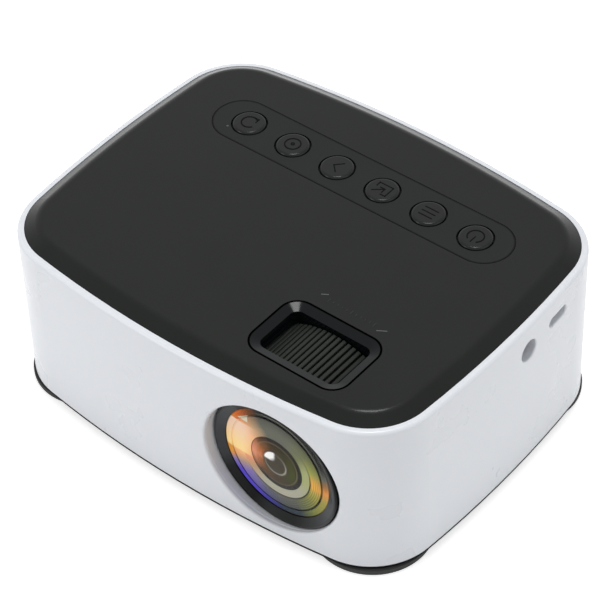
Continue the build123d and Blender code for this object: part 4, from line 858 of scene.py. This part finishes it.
# %% [markdown]
# ## Inner glass
#
# The small inner glass has its reflections painted on: dark olive on the right and burnt
# orange on the left, with a rose patch of painted reflection at the left edge. Two thin
# light rings of painted highlight run round it, and the lamp's reflection is painted as a
# white patch above the middle, bounded by the inner ring.

# %% Coating of the inner glass
tree, shader, radius, turn, across, height = polar("painted_inner_glass_reflection")
body = round_ramp(
    tree,
    turn,
    (-180, paint(196, 116, 74)),
    (-162, paint(150, 88, 40)),
    (-135, paint(92, 58, 16)),
    (-90, paint(58, 40, 16)),
    (-50, paint(50, 48, 10)),
    (-20, paint(60, 66, 6)),
    (30, paint(58, 60, 8)),
    (65, paint(46, 42, 12)),
    (105, paint(56, 40, 12)),
    (140, paint(124, 74, 26)),
    (165, paint(186, 106, 52)),
    (180, paint(196, 116, 74)),
)
middle = mixed(tree, from_radius(tree, radius, (3.4, 0), (4.6, 1)), paint(58, 52, 36), body)
# Painted reflection: a rose patch at the left.
glow_left = round_levels(
    tree, turn, (-180, 1), (-160, 0.5), (-135, 0), (140, 0), (165, 0.6), (180, 1)
)
lit = mixed(
    tree,
    all_of(tree, glow_left, from_radius(tree, radius, (5.4, 0), (6.6, 0.9))),
    middle,
    ROSE,
)
dark_ring = all_of(
    tree,
    from_radius(
        tree, radius, (5.7, 0), (5.95, 0.8), (6.1, 0.8), (6.3, 0), (6.5, 0.2), (6.8, 1), (7.4, 1)
    ),
    round_levels(
        tree, turn, (-180, 0.1), (-150, 0.4), (-110, 1), (95, 1), (125, 0.7), (150, 0.15), (180, 0.1)
    ),
)
ringed = mixed(tree, dark_ring, lit, paint(30, 26, 22))
# Painted highlights: a fine light ring, and further in a light inner ring.
fine_highlight = all_of(
    tree,
    from_radius(tree, radius, (6.1, 0), (6.25, 0.55), (6.35, 0.55), (6.55, 0)),
    round_levels(tree, turn, (-130, 0), (-100, 0.8), (-20, 1), (90, 0.8), (180, 0.6)),
)
ringed = mixed(tree, fine_highlight, ringed, paint(128, 118, 88))
highlight_ring = all_of(
    tree,
    from_radius(tree, radius, (2.8, 0), (3.05, 0.8), (3.2, 0.8), (3.5, 0)),
    round_levels(
        tree, turn, (-180, 0.2), (-110, 0.8), (-20, 1), (30, 0.6), (60, 0.3), (100, 0.2), (180, 0.2)
    ),
)
ringed = mixed(tree, highlight_ring, ringed, paint(164, 160, 146))
# Painted reflection of the lamp: a white patch above the middle.
painted_lamp_reflection = all_of(
    tree,
    from_radius(tree, radius, (0.9, 0), (2.0, 0.9), (3.4, 1), (3.75, 0)),
    edge(tree, across, 0.1, -0.8),
    edge(tree, height, 0.2, 1.0),
)
paint_reflection(tree, shader, mixed(tree, painted_lamp_reflection, ringed, paint(255, 255, 252)), 0.2, 0.08)
print("Inner glass coating made")

# %% [markdown]
# ## Lens glass
#
# The front glass is a thin meniscus and the inner glass a small dome. A dome's profile is
# an arc, so one point is spun about the centre of its sphere before the whole profile is
# spun about the lens axis.

# %% Front glass
def arc_profile(shape, apex, radius, reach, steps=14):
    """An arc on a sphere of the radius, from its apex on the axis out to the reach.

    It gives back the arc's outer end.
    """
    made = bmesh.ops.spin(
        shape,
        geom=[shape.verts.new(section_point(0, apex))],
        cent=section_point(0, apex - radius),
        axis=(0, 0, 1),
        angle=math.asin(reach / radius),
        steps=steps,
    )
    return next(item for item in made["geom_last"] if isinstance(item, bmesh.types.BMVert))


def join_up(shape, *verts):
    for first, second in zip(verts, verts[1:]):
        shape.edges.new((first, second))


GLASS_RADIUS, GLASS_RIM, GLASS_CURVE = 16.6 * MM, 16.2 * MM, 48 * MM
GLASS_THICKNESS = 0.2 * MM
glass_low, glass_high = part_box("front_glass")
glass_apex, glass_back = -glass_low.y, -glass_high.y

shape = bmesh.new()
front_edge = arc_profile(shape, glass_apex, GLASS_CURVE, GLASS_RADIUS)
back_edge = arc_profile(shape, glass_apex - GLASS_THICKNESS, GLASS_CURVE, GLASS_RIM)
join_up(
    shape,
    front_edge,
    shape.verts.new(section_point(GLASS_RADIUS, glass_back)),
    shape.verts.new(section_point(GLASS_RIM, glass_back)),
    back_edge,
)
spin_round(shape)
new_piece("lens_front_glass", shape, "barrel", "lens_glass", "front_glass", crease=50)

# %% [markdown]
# ## Coated plate
#
# A thick lens lifts what lies under it, so the rings seem to stand just behind the trim
# ring. Without refraction they have to be there in fact. A thin plate over the steps of
# the baffle carries the coating's painted reflections and shade, with a real groove
# between the rim and the steps.

# %% Coated plate
PLATE_PROFILE = [
    (7.85, 1.02),
    (13.68, 1.02),
    (13.74, 1.3),
    (13.98, 1.3),
    (14.04, 1.08),
    (15.88, 1.32),
    (15.88, 1.9),
    (14.1, 1.5),
    (13.6, 1.42),
    (10.4, 1.12),
    (7.85, 1.12),
]  # radius and depth behind the trim ring's front, in mm
shape = draw_profile([(r * MM, LENS_FRONT - deep * MM) for r, deep in PLATE_PROFILE])
spin_round(shape)
new_piece(
    "lens_coated_plate", shape, "barrel", "barrel_plastic", finish="painted_coating_reflection", crease=30
)

# %% Inner glass
INNER_RADIUS, INNER_CURVE = 7.7 * MM, 60 * MM
INNER_DEPTH = 0.65 * MM  # of its middle behind the trim ring's front
inner_back = -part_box("middle_glass")[1].y
shape = bmesh.new()
join_up(
    shape,
    arc_profile(shape, LENS_FRONT - INNER_DEPTH, INNER_CURVE, INNER_RADIUS),
    shape.verts.new(section_point(INNER_RADIUS, inner_back)),
    shape.verts.new(section_point(0, inner_back)),
)
new_piece(
    "lens_inner_glass",
    spin_round(shape),
    "barrel",
    "lens_glass",
    "middle_glass",
    finish="painted_inner_glass_reflection",
    crease=50,
)

# %% [markdown]
# ## Key caps
#
# The keys catch the lamp on a broad round rim, broader than the solids have it. Each cap
# is turned like the lens parts: half of its section is drawn, the corners of the rim are
# rounded with vertex bevels, and it is spun round the key's own axis. The flange under
# the panel and the stem below it are part of the same section. The cap's face is flat, a
# little below the solid's, which leaves room for the sign on it.

# %% Key caps
CAP_RADIUS, CAP_ROUND, CAP_SINK = 4.42, 0.8, 0.08
STEM_RADIUS, FLANGE_RADIUS, FLANGE_LOW, FLANGE_HIGH = 1.6, 5.3, 48.9, 49.7
KEY_NODES = ["key_source", "key_select", "key_previous", "key_back", "key_menu", "key_power"]


def key_middle(node):
    low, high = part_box(node)
    return Vector(((low.x + high.x) / 2, (low.y + high.y) / 2, 0))


def key_cap(node):
    """Half of the key's section, with its rim rounded, spun round the key's axis."""
    middle = key_middle(node)
    low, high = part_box(node)
    bottom, top = low.z / MM, high.z / MM - CAP_SINK
    section = [
        (0, bottom),
        (STEM_RADIUS, bottom),
        (STEM_RADIUS, FLANGE_LOW),
        (FLANGE_RADIUS, FLANGE_LOW),
        (FLANGE_RADIUS, FLANGE_HIGH),
        (CAP_RADIUS, FLANGE_HIGH),
        (CAP_RADIUS, top),
        (0, top),
    ]
    shape = bmesh.new()
    corners = [shape.verts.new(middle + Vector((r, 0, z)) * MM) for r, z in section]
    shape.faces.new(corners)
    rounded(shape, [corners[6]], CAP_ROUND * MM, 9)
    on_axis = [
        line
        for line in shape.edges
        if all(abs(end.co.x - middle.x) < 0.001 * MM for end in line.verts)
    ]
    bmesh.ops.delete(shape, geom=list(shape.faces), context="FACES_ONLY")
    bmesh.ops.delete(shape, geom=on_axis, context="EDGES")
    spin_round(shape, middle, (0, 0, 1), SPIN_STEPS // 2)
    new_piece("cap_" + node, shape, node, "key_plastic", node, crease=40)


for node in KEY_NODES:
    key_cap(node)

# %% [markdown]
# ## Signs on the keys
#
# Each key carries a sign moulded in the same dark plastic, so only its edges show, as a
# thin dark line and a thin lit one. The strokes are painted darker than the key, as painted
# shade that stands for their dark edges. A sign is made of strokes: a bar is a cube
# stretched between two points, and an arc is a small square spun round the key's axis. A
# narrow bevel on the upper edges catches the light.

# %% Helpers for strokes
STROKE = 0.34 * MM
STROKE_FOOT, STROKE_TOP = 51.2 * MM, 51.54 * MM
STROKE_EDGE = 0.06 * MM
SIGN_SCALE = 1.12


def soften_top(shape, verts):
    """Bevels the edges round the upper face of the stroke made last."""
    top = max(vert.co.z for vert in verts)
    upper = {
        line
        for vert in verts
        for line in vert.link_edges
        if all(abs(end.co.z - top) < 0.01 * MM for end in line.verts)
    }
    rounded(shape, [line for line in shape.edges if line in upper], STROKE_EDGE, 2, "EDGES")


def bar(shape, start, end, foot=STROKE_FOOT, top=STROKE_TOP, width=STROKE):
    """A straight stroke between two points, rounded past both by half its width."""
    start, end = Vector(start), Vector(end)
    run = end - start
    place = (
        Matrix.Translation(((start.x + end.x) / 2, (start.y + end.y) / 2, (foot + top) / 2))
        @ Matrix.Rotation(math.atan2(run.y, run.x), 4, "Z")
        @ Matrix.Diagonal((run.length + width, width, top - foot, 1))
    )
    made = bmesh.ops.create_cube(shape, size=1, matrix=place)
    soften_top(shape, made["verts"])


def add_square(shape, place):
    """A square one by one, before its place is applied."""
    return bmesh.ops.create_grid(shape, x_segments=1, y_segments=1, size=0.5, matrix=place)


def arc(shape, centre, radius, first, last):
    """A stroke round a centre, from one angle to another in degrees."""
    place = (
        Matrix.Translation((centre[0], centre[1], (STROKE_FOOT + STROKE_TOP) / 2))
        @ Matrix.Rotation(math.radians(first), 4, "Z")
        @ Matrix.Translation((radius, 0, 0))
        @ Matrix.Rotation(math.pi / 2, 4, "X")
        @ Matrix.Diagonal((STROKE, STROKE_TOP - STROKE_FOOT, 1, 1))
    )
    section = add_square(shape, place)["verts"][0].link_faces[0]
    bmesh.ops.spin(
        shape,
        geom=[*section.verts, *section.edges, section],
        cent=(*centre, 0),
        axis=(0, 0, 1),
        angle=math.radians(last - first),
        steps=max(3, round(abs(last - first) / 9)),
    )


print("Strokes are", STROKE / MM, "mm wide")

# %% [markdown]
# The keys are read from behind the projector, so every sign is turned half round. The
# first is a round arrow, the second a ring with a dot, the third an arrow head, the
# fourth an arrow out of a frame, the fifth three bars and the last a power sign.

# %% Signs
def sign(node, bars=(), arcs=()):
    """Strokes in mm round the key's middle. An arc is a middle, a radius and two angles."""
    middle = key_middle(node)
    shape = bmesh.new()
    for first, second in bars:
        bar(
            shape,
            middle.xy + Vector(first) * SIGN_SCALE * MM,
            middle.xy + Vector(second) * SIGN_SCALE * MM,
        )
    for (x, y), radius, first, last in arcs:
        centre = middle.xy + Vector((x, y)) * SIGN_SCALE * MM
        arc(shape, centre, radius * SIGN_SCALE * MM, first, last)
    new_piece("sign_" + node, shape, node, "key_plastic", finish="painted_shade_dark")


sign(
    "key_source",
    bars=[((1.35, 1.9), (1.35, 0.75)), ((1.35, 1.9), (0.2, 1.9))],
    arcs=[((0, 0), 1.85, 45, 330)],
)
sign("key_select", arcs=[((0, 0), 1.85, 0, 360), ((0, 0), 0.35, 0, 360)])
sign("key_previous", bars=[((-0.9, 0), (0.8, 1.7)), ((-0.9, 0), (0.8, -1.7))])
sign(
    "key_back",
    bars=[
        ((-1.8, -1.5), (0.4, 0.2)),
        ((0.5, 0.3), (-0.7, 0.3)),
        ((0.5, 0.3), (0.5, -0.9)),
        ((-1.8, 1.6), (1.9, 1.6)),
        ((1.9, 1.6), (1.9, -1.6)),
        ((-1.8, 1.6), (-1.8, 0.4)),
        ((1.9, -1.6), (0.6, -1.6)),
    ],
)
sign("key_menu", bars=[((-1.7, level), (1.7, level)) for level in (-1.3, 0, 1.3)])
sign("key_power", bars=[((0, -0.2), (0, -2.0))], arcs=[((0, 0), 1.9, -55, 235)])

# %% [markdown]
# ## Marks behind the window
#
# Behind the focus window a thin stroke at each end says how far the wheel turns. They
# stand less than a tenth of a millimetre proud of the cover and catch the light. The
# small lettering between them is left out, and a row of plain ticks fills its place.

# %% Focus marks
COVER_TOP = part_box("top_cover")[1].z
window_low, window_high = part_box("focus_bezel")
MARK_LINE = window_high.y + 4.1 * MM
MARK_LEFT, MARK_RIGHT = 19.0 * MM, 38.2 * MM
MARK_TOP = COVER_TOP + 0.08 * MM
MARK_FOOT = COVER_TOP - 0.2 * MM
MARK_RUN = Vector((0.85, 0.53))  # the way that the two strokes run

shape = bmesh.new()
for end, drop, reach in ((MARK_LEFT, 0, 1.6 * MM), (MARK_RIGHT - 1.1 * MM, 1.8 * MM, 2.3 * MM)):
    start = Vector((end, MARK_LINE - drop))
    bar(shape, start, start + MARK_RUN * reach, MARK_FOOT, MARK_TOP, 0.26 * MM)
new_piece("focus_strokes", shape, "case", "cover_plastic", finish="mark_print")

TICKS = 11
shape = bmesh.new()
for i in range(TICKS):
    x = MARK_LEFT + (MARK_RIGHT - MARK_LEFT) * (i + 2) / (TICKS + 3)
    y = MARK_LINE - 0.6 * MM
    reach = (0.6 if i % 5 == 0 else 0.25) * MM
    bar(shape, (x, y - reach), (x, y + reach), MARK_FOOT, MARK_TOP, 0.22 * MM)
new_piece("focus_ticks", shape, "case", "cover_plastic", finish="tick_print")

# %% [markdown]
# ## Seam of the window's frame
#
# The frame's gloss would hide a painted strip, so the painted shade in the seam round it
# is a very thin black flat frame of its own: a square with its corners rounded by a vertex
# bevel, inset once, with the middle taken out and the rest drawn down into the cover.

# %% Window seam
SEAM_WIDTH, SEAM_PROUD, SEAM_DEPTH = 0.45 * MM, 0.02 * MM, 0.2 * MM
SEAM_REACH = 0.05 * MM  # past the frame on every side


def draw_down(shape, depth, **settings):
    """Extrudes all faces straight down."""
    drawn = bmesh.ops.extrude_face_region(shape, geom=list(shape.faces), **settings)
    verts = [item for item in drawn["geom"] if isinstance(item, bmesh.types.BMVert)]
    bmesh.ops.translate(shape, verts=verts, vec=(0, 0, -depth))


window_middle = (window_low + window_high) / 2
seam_size = window_high - window_low + Vector((1, 1, 0)) * 2 * SEAM_REACH
shape = bmesh.new()
add_square(
    shape,
    Matrix.Translation((window_middle.x, window_middle.y, COVER_TOP + SEAM_PROUD))
    @ Matrix.Diagonal((seam_size.x, seam_size.y, 1, 1)),
)
rounded(shape, shape.verts, WINDOW_CORNER * MM + SEAM_REACH, 16)
plate = list(shape.faces)
bmesh.ops.inset_region(
    shape, faces=plate, thickness=SEAM_WIDTH, use_boundary=True, use_even_offset=True
)
bmesh.ops.delete(shape, geom=plate, context="FACES")
draw_down(shape, SEAM_DEPTH, use_keep_orig=True)
new_piece("window_seam_shade", shape, "case", "cover_plastic", finish="seam_painted_shade")

# %% [markdown]
# ## Grip of the focus wheel
#
# The grip is a rubber band with fine straight ribs. One rib is a cube stretched to its
# length, with its upper edges rounded, and a spin with copies repeats it round the lens
# axis. A band of the same span, spun from a flat profile, closes the grooves between, and
# it is near black, as painted shade in the grooves.

# %% Grip ribs
GRIP_SPAN, RIBS = math.radians(112), 33
RIB_WIDTH, RIB_TOP, RIB_FOOT, RIB_ROUND = 1.05 * MM, 24.7 * MM, 23.7 * MM, 0.24 * MM
GRIP_LENGTH, BAND_LENGTH = 14.2 * MM, 14.1 * MM
BAND_TOP, BAND_FOOT = 23.92 * MM, 23.3 * MM
grip_middle = window_middle.y
first_turn = Matrix.Translation(LENS_CENTRE) @ Matrix.Rotation(-GRIP_SPAN / 2, 4, "Y")

shape = bmesh.new()
bmesh.ops.create_cube(
    shape,
    size=1,
    matrix=first_turn
    @ Matrix.Translation((0, grip_middle, (RIB_TOP + RIB_FOOT) / 2))
    @ Matrix.Diagonal((RIB_WIDTH, GRIP_LENGTH, RIB_TOP - RIB_FOOT, 1)),
)
outward = first_turn.to_3x3() @ Vector((0, 0, 1))
crest = max(shape.faces, key=lambda face: face.normal.dot(outward))
rounded(shape, crest.edges, RIB_ROUND, 3, "EDGES")
spin(shape, LENS_CENTRE, (0, 1, 0), GRIP_SPAN, RIBS - 1, use_duplicate=True)
new_piece("focus_grip_ribs", shape, "focus_ring", "wheel_rubber", crease=40)

# %% Grip band
shape = bmesh.new()
add_square(
    shape,
    first_turn
    @ Matrix.Translation((0, grip_middle, (BAND_TOP + BAND_FOOT) / 2))
    @ Matrix.Rotation(math.pi / 2, 4, "Y")
    @ Matrix.Diagonal((BAND_TOP - BAND_FOOT, BAND_LENGTH, 1, 1)),
)
spin(shape, LENS_CENTRE, (0, 1, 0), GRIP_SPAN, SPIN_STEPS // 2)
new_piece("focus_grip_band", shape, "focus_ring", "wheel_rubber", finish="painted_shade_dark", crease=40)

# %% [markdown]
# ## Line of painted shade under the sleeve
#
# Under the sleeve, where it meets the bottom cover, lies a thin dark line of painted shade:
# a near-black strip. It has the sleeve's own outline, so it is taken from the sleeve's lower
# rim: the faces there that look down are copied, the loose triangles are merged, they are
# drawn down by less than a millimetre, and the whole is scaled to stand just inside the
# sleeve's outline.

# %% Base edge
EDGE_HEIGHT, EDGE_INSET = 0.7 * MM, 0.03 * MM
sleeve_low, sleeve_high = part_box("outer_sleeve")
shape = bmesh.new()
shape.from_mesh(frame["nodes"]["outer_sleeve"].data)
bmesh.ops.remove_doubles(shape, verts=shape.verts, dist=0.002 * MM)
upper = [
    face
    for face in shape.faces
    if any(vert.co.z > sleeve_low.z + 0.02 * MM for vert in face.verts)
]
bmesh.ops.delete(shape, geom=upper, context="FACES")
draw_down(shape, EDGE_HEIGHT)
rim_reach = max(vert.co.x for vert in shape.verts)
rim_depth = max(vert.co.y for vert in shape.verts)
outset = sleeve_high.x - EDGE_INSET - rim_reach
print("The edge moves out by", round(outset / MM, 2), "mm")
bmesh.ops.scale(shape, verts=shape.verts, vec=(1 + outset / rim_reach, 1 + outset / rim_depth, 1))
new_piece("base_shade_line", shape, "case", "cover_plastic", finish="painted_shade_dark")

# %% [markdown]
# ## Feet
#
# Under each corner stands a curved rubber pad, which shows as a dark crescent at the front
# corner. It is the solid's pad, a little wider towards the corner and with longer ends
# that curve in under the case: a flat section with its lower corners rounded, spun about
# the middle of the pad's arc.

# %% Feet
PAD_OUTER, PAD_INNER, PAD_ROUND = 15.3 * MM, 7.6 * MM, 0.5 * MM
PAD_SPAN, PAD_STEPS = math.radians(140), 40
PAD_SHIFT = 1.4 * MM  # how far the middle of the arc stands nearer to the corner
SOLID_OUTER = 15.0 * MM  # outer radius of the solid's pad
pad_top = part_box("bottom_cover")[0].z
for node in ("foot_front_left", "foot_front_right", "foot_rear_left", "foot_rear_right"):
    low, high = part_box(node)
    corner = Vector((math.copysign(1, low.x), math.copysign(1, low.y), 0))
    reach = Vector((high.x if corner.x > 0 else low.x, high.y if corner.y > 0 else low.y, 0))
    middle = reach - corner * SOLID_OUTER + corner.normalized() * PAD_SHIFT
    first = Matrix.Rotation(-PAD_SPAN / 2, 3, "Z") @ corner.normalized()
    section = ((PAD_INNER, low.z), (PAD_OUTER, low.z), (PAD_OUTER, pad_top), (PAD_INNER, pad_top))
    shape = bmesh.new()
    corners = [shape.verts.new(middle + first * out + Vector((0, 0, z))) for out, z in section]
    shape.faces.new(corners)
    rounded(shape, corners[:2], PAD_ROUND, 4)
    spin(shape, middle, (0, 0, 1), PAD_SPAN, PAD_STEPS)
    new_piece("pad_" + node, shape, "case", slot_of[node], node, crease=40)

# %% [markdown]
# ## Floor and light
#
# The object stands on a white sheet in soft light from all round, with small lamps
# above, in front and at the right. The world lights the object at a plain level, and
# only the camera, glossy rays and rays through glass see it as pure white. The floor does
# the same with a little light of its own, so that it turns white but keeps the object's
# shadow.

# %% Floor
FLOOR_SIZE = 3.0  # half its width, in metres
FLOOR_LIFT = 0.58  # light that the sheet adds where it is seen directly


def seen_directly(tree):
    """1 for rays from the camera, from gloss or through glass, and 0 for soft light."""
    path = add_node(tree, "LightPath").outputs
    first = calculate(tree, "MAXIMUM", path["Is Camera Ray"], path["Is Glossy Ray"])
    return calculate(tree, "MAXIMUM", first, path["Is Transmission Ray"])


shape = bmesh.new()
bmesh.ops.create_grid(shape, x_segments=1, y_segments=1, size=FLOOR_SIZE)
floor_mesh = bpy.data.meshes.new("floor")
shape.to_mesh(floor_mesh)
shape.free()
floor = bpy.data.objects.new("floor", floor_mesh)
bpy.context.collection.objects.link(floor)
floor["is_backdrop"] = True

sheet = bpy.data.materials.new("white_sheet")
sheet.use_nodes = True
tree = sheet.node_tree
tree.nodes.remove(tree.nodes["Principled BSDF"])
paper = add_node(tree, "BsdfDiffuse", {"Color": (0.86, 0.86, 0.86, 1)})
lift = calculate(tree, "MULTIPLY", seen_directly(tree), FLOOR_LIFT)
glow = add_node(tree, "Emission", {"Strength": lift})
both = add_node(tree, "AddShader", {0: paper.outputs[0], 1: glow.outputs[0]})
tree.links.new(both.outputs[0], tree.nodes["Material Output"].inputs["Surface"])
floor_mesh.materials.append(sheet)
print("Floor is", 2 * FLOOR_SIZE, "m wide")

# %% World and lamps
SKY = 0.55  # how strongly the world lights the object

world = bpy.data.worlds.new("studio")
bpy.context.scene.world = world
world.use_nodes = True
tree = world.node_tree
level = remap(tree, seen_directly(tree), 0, 1, SKY, 1)
feed(tree, tree.nodes["Background"], {"Strength": level, "Color": (1, 1, 1, 1)})


def softbox(name, place, size, watts):
    """A square lamp that faces the object's middle."""
    data = bpy.data.lights.new(name, "AREA")
    data.size, data.energy = size, watts
    lamp = bpy.data.objects.new(name, data)
    bpy.context.collection.objects.link(lamp)
    lamp.location = place
    lamp.rotation_mode = "QUATERNION"
    lamp.rotation_quaternion = (Vector((0, 0, 0.025)) - lamp.location).to_track_quat("-Z", "Y")


softbox("lamp_above", Vector((-0.01, 0.05, 0.74)), 0.2, 2.0)
softbox("lamp_front", Vector((-0.35, -0.6, 0.3)), 0.25, 0.9)
softbox("lamp_right", Vector((0.6, 0.05, 0.3)), 0.4, 0.4)
print("Lamps: 3")

# %% [markdown]
# ## Size and finish
#
# The visual model's box is worked out and printed, in mm. The visual model has to stay
# inside the CAD model's box.

# %% Sizes
low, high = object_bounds()
print("Visual box in mm:", [round((b - a) / MM, 2) for a, b in zip(low, high)])
